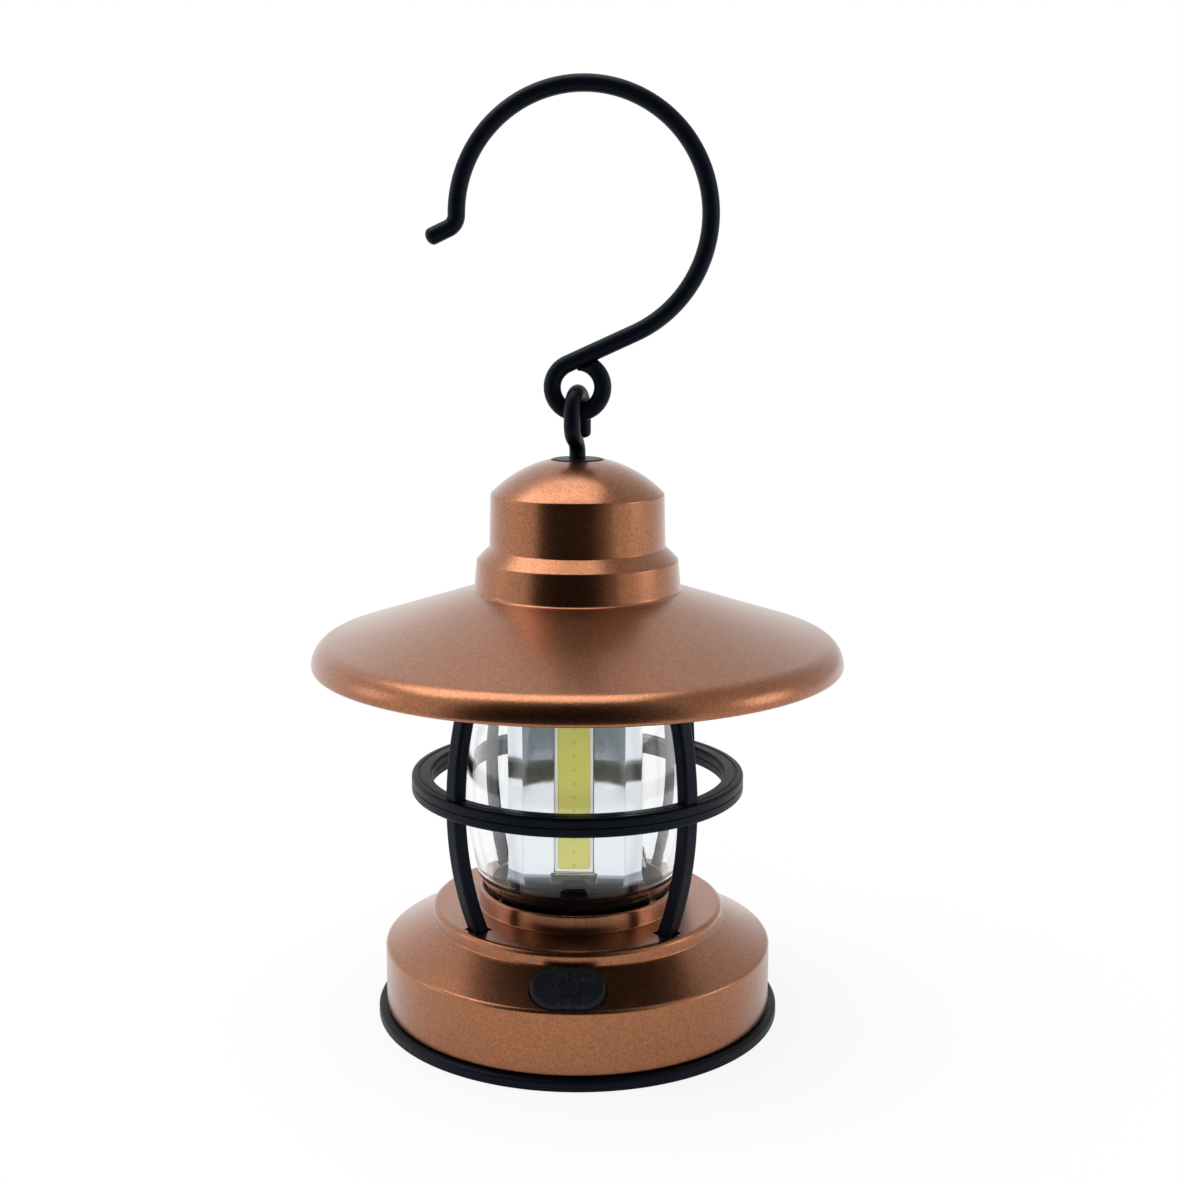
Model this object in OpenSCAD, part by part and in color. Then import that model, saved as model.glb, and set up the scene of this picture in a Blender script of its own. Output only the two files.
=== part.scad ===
// Small battery camping lantern: a round base, a clear globe in a black cage, a wide shade and a wire hook.
// Z is up, the ground is at z = 0, the lantern's axis is the Z axis and the button faces -Y. Millimetres.

/* [Base] */
// Height of the top edge of the base's side wall
shoulder_z = 12.8; // [11.5:0.1:16]
// Width of the sloping shoulder, seen from above
shoulder_w = 8.2; // [8:0.1:11]
// Rise of the shoulder over its width
shoulder_rise = 4.2; // [3:0.1:6]
// Height of the step from the shoulder up to the flat top
step_h = 2.4; // [2:0.1:5]
// Flat top left outside the feet of the cage
foot_margin = 3; // [2.8:0.1:8]
// Wall of the base and of the shade
wall = 1.6; // [1.2:0.1:2]
// Height of the collar that holds the globe
collar_h = 3; // [2:0.1:5]
// Wall of that collar
collar_t = 0.9; // [0.8:0.1:1.5]

/* [Cover] */
// Thickness of the twist-off bottom cover
cover_t = 1.9; // [1.6:0.1:3]
// How far the cover's rim stands out past the base wall
cover_lip = 1.4; // [0.5:0.1:3]
// Width of each bayonet lug, as an angle
lug_angle = 12; // [8:1:12]
// Height of the bayonet tabs above the cover
tab_z = 2.3; // [2:0.1:2.6]

/* [Light column] */
// Width across the flats of the mirrored column
column_w = 22.2; // [20:0.1:27]
// Size of the column's cut corners
column_chamfer = 2.7; // [2:0.1:4]
// Wall of the column
column_wall = 1.3; // [1.1:0.1:2]
// Height of the column's flared foot
foot_h = 8.4; // [6:0.1:10]
// Width of a light strip
strip_w = 6.5; // [5:0.1:8]
// Length of a light strip
strip_len = 30; // [20:0.5:32]
// Height of the strips' lower end above the base's flat top
strip_up = 8.9; // [8.6:0.1:10]
// Thickness of a strip's board
board_t = 0.8; // [0.6:0.1:1.2]

/* [Globe and cage] */
// Clear height between the base's flat top and the ceiling plate
cage_h = 42.9; // [40:0.1:55]
// Room between the column's corners and the globe
globe_gap = 0.3; // [0.25:0.05:2]
// Wall of the globe
globe_wall = 1.2; // [1:0.1:2]
// How far the globe bulges at half height
globe_bulge = 3.9; // [1:0.1:5]
// Thickness of the seals at the globe's ends
gasket_t = 0.8; // [0.5:0.1:1.5]
// Room between the globe and the cage ring
ring_gap = 5.8; // [4:0.1:10]
// Width of the cage ring
ring_w = 3.4; // [2.8:0.1:5]
// Height of the cage ring
ring_h = 3.2; // [2.6:0.1:5]
// How far the ring's middle lies above half the clear height
ring_rise = 0.45; // [0:0.05:2]
// Width of a cage rib
rib_w = 2.9; // [2:0.1:3.2]
// Thickness of a cage rib
rib_t = 2.4; // [2:0.1:3]
// How far the ribs' feet curve in below the ring
rib_inset = 4.4; // [2.5:0.1:6]
// How far inside the ring's middle the ribs run
rib_in = 0.2; // [0:0.1:1]

/* [Shade] */
// Diameter of the shade
shade_d = 90; // [84:0.5:120]
// Radius of the shade's rounded rim
rim_round = 4.2; // [2.6:0.1:5]
// Depth of the rim below its widest line
lip_h = 0.6; // [0.5:0.1:2]
// Height of the shade's slope, from its rim to the collar
slope_h = 12; // [10:0.1:16]
// Diameter of the collar above the slope
neck_d = 35; // [30:0.1:40]
// Height of that collar
neck_h = 5.2; // [4:0.1:10]
// Diameter of the chimney
chimney_d = 29.7; // [26:0.1:31]
// Height of the chimney above the collar's bevel
chimney_h = 8.9; // [8:0.1:14]
// Radius of the domed crown
dome_r = 20.2; // [18:0.1:40]
// Radius of the circle of the shade's screw bosses
boss_circle_r = 30; // [26:0.5:34]
// Thickness of the ceiling plate
plate_t = 1; // [0.8:0.1:1.6]

/* [Hook] */
// Diameter of the hook's wire
hook_wire_d = 2.9; // [2.2:0.1:3.4]
// Diameter of the eye's wire
eye_wire_d = 2.7; // [2.2:0.1:3.4]
// Radius of the hook's crown
hook_r = 20.8; // [16:0.1:30]
// Extra radius of the hook's long side
hook_side = 0.2; // [0:0.1:3]
// Length of the straight shank
shank_len = 12.3; // [8:0.1:20]
// Slope of the shank
shank_angle = 24.5; // [10:0.5:40]
// Turn of the hook's flared tip
tip_turn = 65; // [30:5:80]
// Height of the hook's hinge line above the crown
pivot_up = 7.7; // [7:0.1:12]
// Turn of the eye on its swivel
eye_turn = 13; // [0:1:13]

/* [Button] */
// Width of the button
button_w = 12.1; // [9:0.1:14]
// Height of the button along the slope
button_h = 8; // [6:0.1:8.4]
// How far the button stands proud
button_proud = 1; // [0.6:0.1:1.6]
// Travel of the button
button_travel = 0.5; // [0.3:0.1:0.6]

/* [Battery] */
// Diameter of one cell
cell_d = 10.5; // [10:0.1:10.5]
// Length of one cell with its nub
cell_len = 44.5; // [40:0.1:44.5]
// Length of a pressed contact spring
spring_len = 2.7; // [2:0.1:3]
// Thickness of the contact plates
contact_t = 0.4; // [0.2:0.1:0.5]

/* [Fits] */
// Gap between parts that move past each other
run_gap = 0.3; // [0.2:0.05:0.4]
// Gap between fitted parts
fit_gap = 0.1; // [0.05:0.05:0.2]
// Gap between a screw and its pilot hole
screw_gap = 0.05; // [0.02:0.01:0.1]
// Diameter of the screws
screw_d = 2.2; // [2:0.1:2.6]
// Diameter of the screw heads
screw_head_d = 4; // [3.4:0.1:4.4]
// Height of the screw heads
screw_head_h = 1.2; // [1:0.1:1.6]
// Thickness of the leads
lead_d = 1.1; // [0.8:0.1:1.2]

/* [Hidden] */
$fn = 64;
CELLS = 3;
FACES = 4;

// Colours of the finishes
copper = "#8a5a40";
black = "#14161d";
chrome = "#d9dde2";
steel = "#b4b6b8";
clear = [0.85, 0.9, 0.95, 0.35];

// Light column
column_half = column_w / 2;
column_corner_r = norm([column_half, column_half - column_chamfer]);
foot_flare = 1.4;
column_foot_half = column_half + foot_flare;
column_screw = column_half - column_wall - 2.6;
column_boss_r = 2.5;
column_screw_len = 8;
strip_recess = 0.9;
strip_border = 0.5;
phosphor_t = 0.5;
phosphor_round = 0.6;
board_face = column_half - strip_recess;
octagon_half = 22.5;

// Globe, from the column outwards
globe_end_r = column_corner_r + globe_gap + globe_wall;
globe_mid_r = globe_end_r + globe_bulge;

// Cage, from the globe outwards
ring_in_r = globe_mid_r + ring_gap;
ring_out_r = ring_in_r + ring_w;
ring_mid_r = ring_in_r + ring_w / 2;
seam_gap = 0.1;
rib_mid_r = ring_mid_r - rib_in;
ring_up = cage_h / 2 + ring_rise;
rib_r = (pow(ring_up, 2) + pow(rib_inset, 2)) / (2 * rib_inset);
rib_foot_r = rib_mid_r - rib_inset;
rib_round = 0.6;
rib_root = 0.6;
peg_w = 1.8;
ring_edge = 0.5;
groove_r = 0.2;
groove_in = 1.25;
pin_r = 0.6;
pin_h = 0.9;
pin_root = 0.3;

// Base, from the cage's feet outwards
plateau_r = rib_foot_r + foot_margin;
base_r = plateau_r + shoulder_w;
base_in_r = base_r - wall;
slope = atan(shoulder_rise / shoulder_w);
cover_gap = 0.2;
wall_z = cover_t + cover_gap;
step_z = shoulder_z + shoulder_rise;
plateau_z = step_z + step_h;
plateau_under = plateau_z - wall;
plateau_round = 0.9;
shoulder_round = 0.8;
cable_hole_r = 4.5;

// Heights up to the shade
plate_z = plateau_z + cage_h;
plate_top = plate_z + plate_t;
ring_z = plateau_z + ring_up;
globe_z = [plateau_z + gasket_t, plate_z - gasket_t];
globe_mid_z = (globe_z[0] + globe_z[1]) / 2;
globe_half = globe_z[1] - globe_mid_z;
globe_curve_r = (pow(globe_half, 2) + pow(globe_bulge, 2)) / (2 * globe_bulge);
function globe_r(z) = globe_mid_r - globe_curve_r
    + sqrt(pow(globe_curve_r, 2) - pow(z - globe_mid_z, 2));
collar_in_r = globe_r(plateau_z + collar_h) + fit_gap;
collar_r = collar_in_r + collar_t;

// Light strips and the leads inside the column
strip_z = plateau_z + strip_up;
jumper_x = 2.6;
jumper_bend = 4.8;
jumper_z = [strip_z + 8, strip_z + 21];
jumper_path = concat(
    [[jumper_x, -board_face]],
    arc([jumper_x + jumper_bend, -jumper_x - jumper_bend], jumper_bend, 180, 90, 5),
    [[board_face, -jumper_x]]
);
lead_x = [-1.4, 1.4];
lead_end_z = strip_z + 3;

// Shade
shade_r = shade_d / 2;
rim_z = plate_z + 0.2;
bevel_half = 22.5;
neck_r = neck_d / 2;
neck_draft = 0.5;
chimney_r = chimney_d / 2;
chimney_draft = 0.25;
crease_z = rim_z + slope_h;
bevel_z = crease_z + neck_h;
chimney_z = bevel_z + neck_r - neck_draft - chimney_r;
chimney_top_r = chimney_r - chimney_draft;
chimney_top = chimney_z + chimney_h;
dome_z = chimney_top - sqrt(pow(dome_r, 2) - pow(chimney_top_r, 2));
rim_c = [shade_r - rim_round, rim_z];
rim_v = rim_c - [neck_r, crease_z];
shade_angle = -atan2(rim_v[1], rim_v[0]) - asin(rim_round / norm(rim_v));
plate_gap = 0.6;
plate_r = shade_r - wall - plate_gap;
boss_r = 3;
shade_screw_len = 4;
screw_short = 0.5;

// Crown, eye and hook
bush_r = 4.25;
bush_t = 0.9;
bush_proud = 0.1;
bush_spigot_r = 2.9;
bush_past = 0.6;
crown_z = dome_z + sqrt(pow(dome_r, 2) - pow(bush_r, 2));
bush_seat_z = crown_z + bush_proud - bush_t;
bush_bottom = bush_seat_z - wall - bush_past;
wire_sides = 16;
eye_wire_r = eye_wire_d / 2;
hook_wire_r = hook_wire_d / 2;
washer_t = 0.7;
washer_r = bush_spigot_r + 0.7;
washer_gap = 0.2;
nut_t = 2.4;
nut_d = 6.2;
stem_past = 0.6;
washer_top = bush_bottom - washer_gap;
nut_top = washer_top - washer_t;
stem_z = nut_top - nut_t - stem_past;
pivot_z = crown_z + pivot_up;
eye_play = 0.55;
eye_r = eye_wire_r + hook_wire_r + eye_play;
eye_bend = 2.6;
eye_back = 4.5;
eye_front = 1.9;
eye_s = acos(1 - eye_r / (2 * eye_bend));
stem_top = pivot_z - eye_front - 2 * eye_bend * sin(eye_s);
ring_eye_more = 0.85;
ring_eye_r = eye_r + ring_eye_more;
ring_eye_c = [0, pivot_z + ring_eye_r];
ring_hole_r = ring_eye_r - hook_wire_r;

// The ring's end narrows so that it closes the ring under the shank, at angles above the shank's direction
tail_gap = 0.1;
tail_from = asin((ring_hole_r - tail_gap) / (ring_hole_r + hook_wire_d));
tail_to = 54;
tail_steps = 6;

// Shank, side and crown of the hook
shank_from = ring_eye_c + ring_eye_r * [-sin(shank_angle), cos(shank_angle)];
shank_to = shank_from + shank_len * [cos(shank_angle), sin(shank_angle)];
side_r = hook_r + hook_side;
side_c = shank_to + side_r * [-sin(shank_angle), cos(shank_angle)];
crown_c = side_c + [hook_side, 0];
tip_bend = 2.4;
tip_len = 4;
tip_c = crown_c - [hook_r + tip_bend, 0];
tip_from = tip_c + tip_bend * [cos(tip_turn), -sin(tip_turn)];
tip_to = tip_from - tip_len * [sin(tip_turn), cos(tip_turn)];

// Button and its switch, along the shoulder's normal: 0 is the surface and minus is inwards
button_r = base_r - shoulder_w / 2;
button_z = shoulder_z + shoulder_rise / 2;
button_gap = 0.25;
button_edge = 0.5;
sign_r = 1.5;
sign_w = 0.4;
sign_t = 0.2;
sign_gap = 35;
pocket_depth = 0.15;
pocket_n = pocket_depth - wall;
flange_lip = 1;
flange_t = 0.8;
flange_n = pocket_n - fit_gap;
plunger_r = 1.5;
plunger_n = flange_n - flange_t;
plunger_len = 1.25;
switch_w = 6;
switch_t = 2;
switch_play = 0.1;
switch_n = plunger_n - button_travel - switch_play;
switch_bore = 1.35;
board_n = switch_n - switch_t;
pcb_t = 1;
pcb_w = 18;
pcb_y = [-3.3, 7.2];
pcb_screw = [7, 4];
pcb_screw_d = 1.6;
pcb_head_d = 3;
pcb_head_h = 1;
pcb_boss_r = 1.7;
pad_y = 6.4;
pad_x = 4.2;
chip_size = [4.9, 3.9, 1.4];
chip_y = 2.5;

// Battery tray and cells
cell_r = cell_d / 2;
cell_gap = 0.3;
cell_up = 0.5;
cell_z = cover_t + cell_up + cell_r;
cell_pitch = cell_d + cell_gap;
nub_r = 1.9;
nub_h = 1.3;
tray_in = [(cell_len + spring_len) / 2 + contact_t, cell_pitch + cell_r + cell_gap / 2];
tray_end_t = 1.2;
tray_side_t = 0.9;
tray_top_t = 1.1;
tray_gap = 0.2;
tray_under = cell_z + cell_r + tray_gap;
tray_top = tray_under + tray_top_t;
tray_up = 1.1;
tray_bottom = cover_t + tray_up;
tray_clear = 0.4;
tray_screw = [14, cell_pitch / 2];
tray_boss_r = 2.3;
tray_head_d = 3.2;
fin = [18, 0.8, 2.6];
lead_hole = [tray_in[0] - lead_d / 2 - 0.3, cell_pitch - 3];
spring_wire = 0.6;
spring_turns = 2.5;
spring_big_r = 3.2;
spring_small_r = 2.3;
spring_steps = 12;
contact_w = 8;
contact_tab = 0.6;

// Bayonet of the cover
spigot_gap = 0.2;
spigot_t = 0.6;
spigot_h = 1.2;
tab_t = 1.2;
tab_d = 1.7;
post_t = 1.5;
lug_t = 1.5;
tab_low = cover_t + tab_z;
lug_low = tab_low + tab_t + run_gap;
post_out_r = base_in_r - tab_d - run_gap;
lug_out_r = base_in_r - run_gap;
lug_at = [60, 110, 240, 290];
stop_angle = 2;
stop_gap = 0.7;
tab_more = 1;
root = 0.3;
cover_r = base_r + cover_lip;
cover_rest_w = 8;
cover_recess = 0.5;
cover_edge = 0.6;
coin_slot = [20, 2.4, 0.7];

// Points along an arc of radius r about c, from angle a to angle b
function arc(c, r, a, b, n = 12) = [for (i = [0:n])
    let (t = a + (b - a) * i / n) c + r * [cos(t), sin(t)]];

// A path without its first point, to follow one that ends there
function after_first(p) = [for (i = [1:len(p) - 1]) p[i]];

// Unit directions along a path, and the sideways direction carried along it without twist
function unit(v) = v / norm(v);
function tangents(p) = [for (i = [0:len(p) - 1]) unit(p[min(i + 1, len(p) - 1)] - p[max(i - 1, 0)])];
function sideways(t, v, i = 0) = i == len(t) ? []
    : let (w = unit(v - (v * t[i]) * t[i])) concat([w], sideways(t, w, i + 1));

// Points of a circle of diameter d about c, in the plane of the directions u and v
function hoop(c, d, u, v, sides) = [for (k = [0:sides - 1])
    c + d / 2 * (cos(360 * k / sides) * u + sin(360 * k / sides) * v)];

// A round tube of diameter d along the points of a path, which may start with hoops of its own
module tube(path, d, sides = 8, start = []) {
    t = tangents(path);
    u = sideways(t, abs(t[0][2]) < 0.9 ? [0, 0, 1] : [1, 0, 0]);
    hoops = concat(start, [for (i = [0:len(path) - 1]) hoop(path[i], d, u[i], cross(t[i], u[i]), sides)]);
    last = (len(hoops) - 1) * sides;
    walls = [for (i = [0:len(hoops) - 2], k = [0:sides - 1]) let (m = (k + 1) % sides)
        [i * sides + k, (i + 1) * sides + k, (i + 1) * sides + m, i * sides + m]];
    ends = [[for (k = [0:sides - 1]) k], [for (k = [sides - 1:-1:0]) last + k]];
    polyhedron([for (h = hoops, q = h) q], concat(walls, ends), convexity = 6);
}

// A bent wire whose path lies in a plane of x and z
module wire(path, d, start = []) tube([for (p = path) [p[0], 0, p[1]]], d, wire_sides, start);

// A ring of rectangular section, whole or over an angle
module ring(r_in, r_out, low, high) rotate_extrude()
    translate([r_in, low]) square([r_out - r_in, high - low]);

module sector(r_in, r_out, low, high, a, b) rotate(a) rotate_extrude(angle = b - a)
    translate([r_in, low]) square([r_out - r_in, high - low]);

// A rectangle with round corners
module round_rect(w, h, r) {
    square([w - 2 * r, h], center = true);
    square([w, h - 2 * r], center = true);
    for (x = [-1, 1], y = [-1, 1]) translate([x * (w / 2 - r), y * (h / 2 - r)]) circle(r);
}

// A bar with round ends
module pill(w, h) {
    square([w - h, h], center = true);
    for (x = [-1, 1]) translate([x * (w - h) / 2, 0]) circle(d = h);
}

// A screw with its head's underside at z = 0 and its shank going up
module screw(d, len, head_d, head_h) {
    cylinder(d = d, h = len);
    translate([0, 0, -head_h]) difference() {
        cylinder(d = head_d, h = head_h);
        for (a = [0, 90]) rotate(a) cube([head_d * 0.55, head_d / 8, head_h], center = true);
    }
}

module at_corners(r) for (x = [-1, 1], y = [-1, 1]) translate([x * r, y * r, 0]) children();

module at_ribs() for (a = [45:90:315]) rotate(a) children();

module at_faces() for (a = [0:90:270]) rotate(a) children();

module at_tray_screws(z) for (x = [-1, 1], y = [-1, 1])
    translate([x * tray_screw[0], y * tray_screw[1], z]) children();

// The shoulder's own frame: z along its normal, y up the slope
module on_shoulder(n = 0) translate([0, -button_r, button_z]) rotate([slope, 0, 0]) translate([0, 0, n])
    children();

module at_board_screws(n) for (x = [-1, 1]) on_shoulder(n)
    translate([x * pcb_screw[0], pcb_screw[1], 0]) children();

function shoulder_point(x, y, n) =
    [x, y * cos(slope) - n * sin(slope) - button_r, y * sin(slope) + n * cos(slope) + button_z];

// Narrowed end of the ring: its outer side follows the shank's underside, and its inner side the ring's hole
function tail_hoop(a) =
    let (d = (ring_hole_r - tail_gap) / sin(a - shank_angle) - ring_hole_r, u = [cos(a), 0, sin(a)])
    hoop([0, 0, ring_eye_c[1]] + (ring_hole_r + d / 2) * u, d, u, [0, -1, 0], wire_sides);

// From the narrowed end round the ring to the shank, over the crown and down to the tip
module hook() color(black) wire(concat(
    arc(ring_eye_c, ring_eye_r, shank_angle + tail_from, shank_angle - 270, 26),
    arc(side_c, side_r, shank_angle - 90, 0, 8),
    after_first(arc(crown_c, hook_r, 0, 180, 22)),
    after_first(arc(tip_c, tip_bend, 0, -tip_turn, 5)),
    [tip_to]
), hook_wire_d, [for (i = [tail_steps:-1:1])
    tail_hoop(shank_angle + tail_from + (tail_to - tail_from) * i / tail_steps)]);

// From the threaded stem through its double bend, over the arch and down the back leg
module hook_eye() color(black) rotate(90 - eye_turn) wire(concat(
    [[0, stem_z]],
    arc([-eye_bend, stem_top], eye_bend, 0, eye_s, 5),
    after_first(arc([eye_bend - eye_r, pivot_z - eye_front], eye_bend, 180 + eye_s, 180, 5)),
    arc([0, pivot_z], eye_r, 180, 0, 14),
    [[eye_r, pivot_z - eye_back]]
), eye_wire_d);

module eye_washer() color(steel) ring(eye_wire_r + screw_gap, washer_r, nut_top, washer_top);

module eye_nut() color(steel) translate([0, 0, nut_top - nut_t]) difference() {
    cylinder(d = nut_d, h = nut_t, $fn = 6);
    translate([0, 0, -1]) cylinder(r = eye_wire_r + screw_gap, h = nut_t + 2);
}

module crown_bush() color(black) difference() {
    union() {
        translate([0, 0, bush_bottom]) cylinder(r = bush_spigot_r, h = bush_seat_z - bush_bottom);
        translate([0, 0, bush_seat_z]) cylinder(r = bush_r, h = bush_t);
    }
    translate([0, 0, bush_bottom - 1])
        cylinder(r = eye_wire_r + fit_gap, h = bush_seat_z + bush_t - bush_bottom + 2);
}

// Outline of the shade from the crown to its widest line, moved in by t
function shade_line(t) = concat(
    arc([0, dome_z], dome_r - t, 90, acos((chimney_top_r - t) / (dome_r - t)), 16),
    [[chimney_r - t, chimney_z - t * tan(bevel_half)],
     [neck_r - neck_draft - t, bevel_z - t * tan(bevel_half)],
     [neck_r - t, crease_z + t * tan(shade_angle) - t / cos(shade_angle)]],
    arc(rim_c, rim_round - t, 90 - shade_angle, 0)
);

module shade() color(copper) difference() {
    rotate_extrude() polygon(concat(
        shade_line(0),
        arc([shade_r - lip_h, rim_z], lip_h, 0, -90, 6),
        [[0, rim_z - lip_h]]
    ));
    difference() {
        rotate_extrude() polygon(concat(
            shade_line(wall),
            [[shade_r - wall, rim_z - lip_h - 1], [0, rim_z - lip_h - 1]]
        ));
        at_ribs() translate([boss_circle_r, 0, plate_top]) cylinder(r = boss_r, h = chimney_top - plate_top);
    }
    at_ribs() translate([boss_circle_r, 0, plate_top - 1])
        cylinder(d = screw_d + 2 * screw_gap, h = shade_screw_len + 1);
    translate([0, 0, bush_seat_z]) cylinder(r = bush_r + 2 * fit_gap, h = 2 * bush_t);
    translate([0, 0, bush_seat_z - dome_r]) cylinder(r = bush_spigot_r + fit_gap, h = 2 * dome_r);
}

module shade_screws() color(steel) at_ribs() translate([boss_circle_r, 0, plate_z])
    screw(screw_d, plate_t + shade_screw_len - screw_short, screw_head_d, screw_head_h);

// Slots that take the pegs at the ends of the ribs
module peg_slots(r, low, high) at_ribs() translate([r, 0, (low + high) / 2])
    cube([peg_w + 2 * fit_gap, peg_w + 2 * fit_gap, high - low + 2], center = true);

// Radius of the ribs' curve at a height
function rib_at(z) = rib_mid_r - rib_r + sqrt(pow(rib_r, 2) - pow(z - ring_z, 2));

module globe_collar(h) ring(collar_in_r, collar_r, 0, h);

module ceiling_plate() color(black) difference() {
    union() {
        translate([0, 0, plate_z]) cylinder(r = plate_r, h = plate_t);
        translate([0, 0, plate_z - collar_h]) globe_collar(collar_h);
    }
    peg_slots(rib_at(plate_z), plate_z, plate_top);
    translate([0, 0, plate_z - 1]) {
        at_corners(column_screw) cylinder(d = screw_d + 2 * fit_gap, h = plate_t + 2);
        at_ribs() translate([boss_circle_r, 0, 0]) cylinder(d = screw_d + 2 * fit_gap, h = plate_t + 2);
    }
}

module column_top_screws() color(steel) at_corners(column_screw)
    translate([0, 0, plate_top]) mirror([0, 0, 1])
        screw(screw_d, plate_t + column_screw_len - screw_short, screw_head_d, screw_head_h);

// One rib from inside the half ring to an end height, with its peg through the plate there
module cage_rib(end_z, through) {
    up = sign(end_z - ring_z);
    reach = asin(abs(end_z - ring_z) / rib_r) + 3;
    intersection() {
        translate([rib_mid_r - rib_r, 0, ring_z]) rotate([90, 0, 0]) rotate(up > 0 ? 0 : -reach)
            rotate_extrude(angle = reach) translate([rib_r, 0]) round_rect(rib_t, rib_w, rib_round);
        translate([0, -rib_r / 2, min(end_z, ring_z + up * rib_root)])
            cube([rib_r, rib_r, abs(end_z - ring_z) - rib_root]);
    }
    translate([rib_at(end_z), 0, end_z + up * through / 2]) cube([peg_w, peg_w, through], center = true);
}

// One half of the cage: half the ring and four ribs, with the ring's pins or their holes
module half_cage(up, end_z, through) {
    low = seam_gap / 2;
    high = ring_h / 2;
    difference() {
        union() {
            translate([0, 0, ring_z]) mirror([0, 0, up > 0 ? 0 : 1]) rotate_extrude() difference() {
                polygon(concat(
                    [[ring_in_r, low], [ring_out_r, low]],
                    arc([ring_out_r - ring_edge, high - ring_edge], ring_edge, 0, 90, 4),
                    arc([ring_in_r + ring_edge, high - ring_edge], ring_edge, 90, 180, 4)
                ));
                translate([ring_out_r - groove_in, high]) circle(groove_r);
            }
            at_ribs() cage_rib(end_z, through);
        }
        if (up > 0) at_faces() translate([ring_mid_r, 0, ring_z]) cylinder(r = pin_r + screw_gap, h = pin_h);
    }
    if (up < 0) at_faces() translate([ring_mid_r, 0, ring_z - low - pin_root])
        cylinder(r = pin_r, h = pin_root + low + pin_h - seam_gap);
}

module upper_cage() color(black) half_cage(1, plate_z, plate_t);

module lower_cage() color(black) half_cage(-1, plateau_z, wall);

// One side of the globe's wall, moved in by t, from its lower end up or from its upper end down
function globe_line(t, up) = let (r = globe_curve_r - t, h = up * asin(globe_half / r))
    arc([globe_mid_r - globe_curve_r, globe_mid_z], r, -h, h, 24);

module globe() color(clear) rotate_extrude() polygon(concat(globe_line(0, 1), globe_line(globe_wall, -1)));

module gasket(low) color(black) ring(globe_end_r - globe_wall, globe_end_r, low, low + gasket_t);

module upper_gasket() gasket(globe_z[1]);

module lower_gasket() gasket(plateau_z);

// Section of the column: a square with cut corners
module cut_square(half, cut) polygon([for (a = [0:90:270], s = [-1, 1])
    let (x = half, y = s * (half - cut)) [x * cos(a) - y * sin(a), x * sin(a) + y * cos(a)]]);

// Holes for the screws at one end of the column
module column_holes(z) at_corners(column_screw) translate([0, 0, z])
    cylinder(d = screw_d + 2 * screw_gap, h = column_screw_len + 1);

module led_column() color(chrome) difference() {
    boss_len = column_screw_len + 1;
    skin = 0.01;
    union() {
        translate([0, 0, plateau_z + foot_h - 1]) linear_extrude(cage_h - foot_h + 1)
            cut_square(column_half, column_chamfer);
        hull() {
            translate([0, 0, plateau_z + foot_h - skin]) linear_extrude(skin)
                cut_square(column_half, column_chamfer);
            translate([0, 0, plateau_z]) linear_extrude(collar_h)
                cut_square(column_foot_half, column_foot_half * (1 - tan(octagon_half)));
        }
    }
    difference() {
        translate([0, 0, plateau_z - 1]) linear_extrude(cage_h + 2)
            cut_square(column_half - column_wall, column_chamfer);
        for (z = [plateau_z, plate_z - boss_len]) at_corners(column_screw) translate([0, 0, z])
            cylinder(r = column_boss_r, h = boss_len);
    }
    column_holes(plateau_z - 1);
    column_holes(plate_z - column_screw_len);
    at_faces() translate([0, -column_half, strip_z + strip_len / 2])
        cube([strip_w + 2 * fit_gap, 2 * strip_recess, strip_len + 2 * fit_gap], center = true);
    for (x = lead_x) lead_hole_at(x, lead_end_z);
    for (x = [-jumper_x, jumper_x], z = jumper_z) at_faces() lead_hole_at(x, z);
}

// Hole for a lead through the column's front wall
module lead_hole_at(x, z) translate([x, -column_half, z]) rotate([-90, 0, 0])
    cylinder(d = lead_d + 4 * fit_gap, h = column_half / 2);

// Light strips, one on each face of the column
module led_board(i) color("#e8e6da") rotate(90 * (i - 1))
    translate([-strip_w / 2, -board_face - board_t, strip_z]) cube([strip_w, board_t, strip_len]);

module led_phosphor(i) color("#d8d04a") rotate(90 * (i - 1))
    translate([0, -board_face - board_t, strip_z + strip_len / 2]) rotate([90, 0, 0])
        linear_extrude(phosphor_t)
            round_rect(strip_w - 2 * strip_border, strip_len - 2 * strip_border, phosphor_round);

// Leads inside the column: jumpers from face to face, and the pair that comes up from the board
module led_jumpers() color("#303030") for (k = [0:FACES - 2], z = jumper_z) rotate(90 * k)
    tube([for (p = jumper_path) [p[0], p[1], z]], lead_d);

// A lead from the switch board up the column to the front strip
function led_route(x) = [
    shoulder_point(x, pad_y, board_n + lead_d * 0.6),
    shoulder_point(x, pad_y + 0.2, board_n + lead_d * 1.6),
    [x, -button_r + 10, plateau_under - 1.4],
    [x, -14, plateau_under - 1.2],
    [x, -6, plateau_under - 1.2],
    [x, -3, plateau_under - 0.4],
    [x, -2, plateau_z + 1],
    [x, -2, plateau_z + 5],
    [x, -2.4, lead_end_z - 2.6],
    [x, -3.8, lead_end_z - 0.7],
    [x, -6, lead_end_z],
    [x, -board_face, lead_end_z]
];

module led_lead_red() color("firebrick") tube(led_route(lead_x[1]), lead_d);

module led_lead_black() color("#202020") tube(led_route(lead_x[0]), lead_d);

// Outline of the base from the bottom of its wall to its flat top, moved in by t. Moving in lowers the slope
// by drop(t), and the outer outline has its two upper edges rounded.
function drop(t) = t * (1 / cos(slope) - tan(slope));

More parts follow.
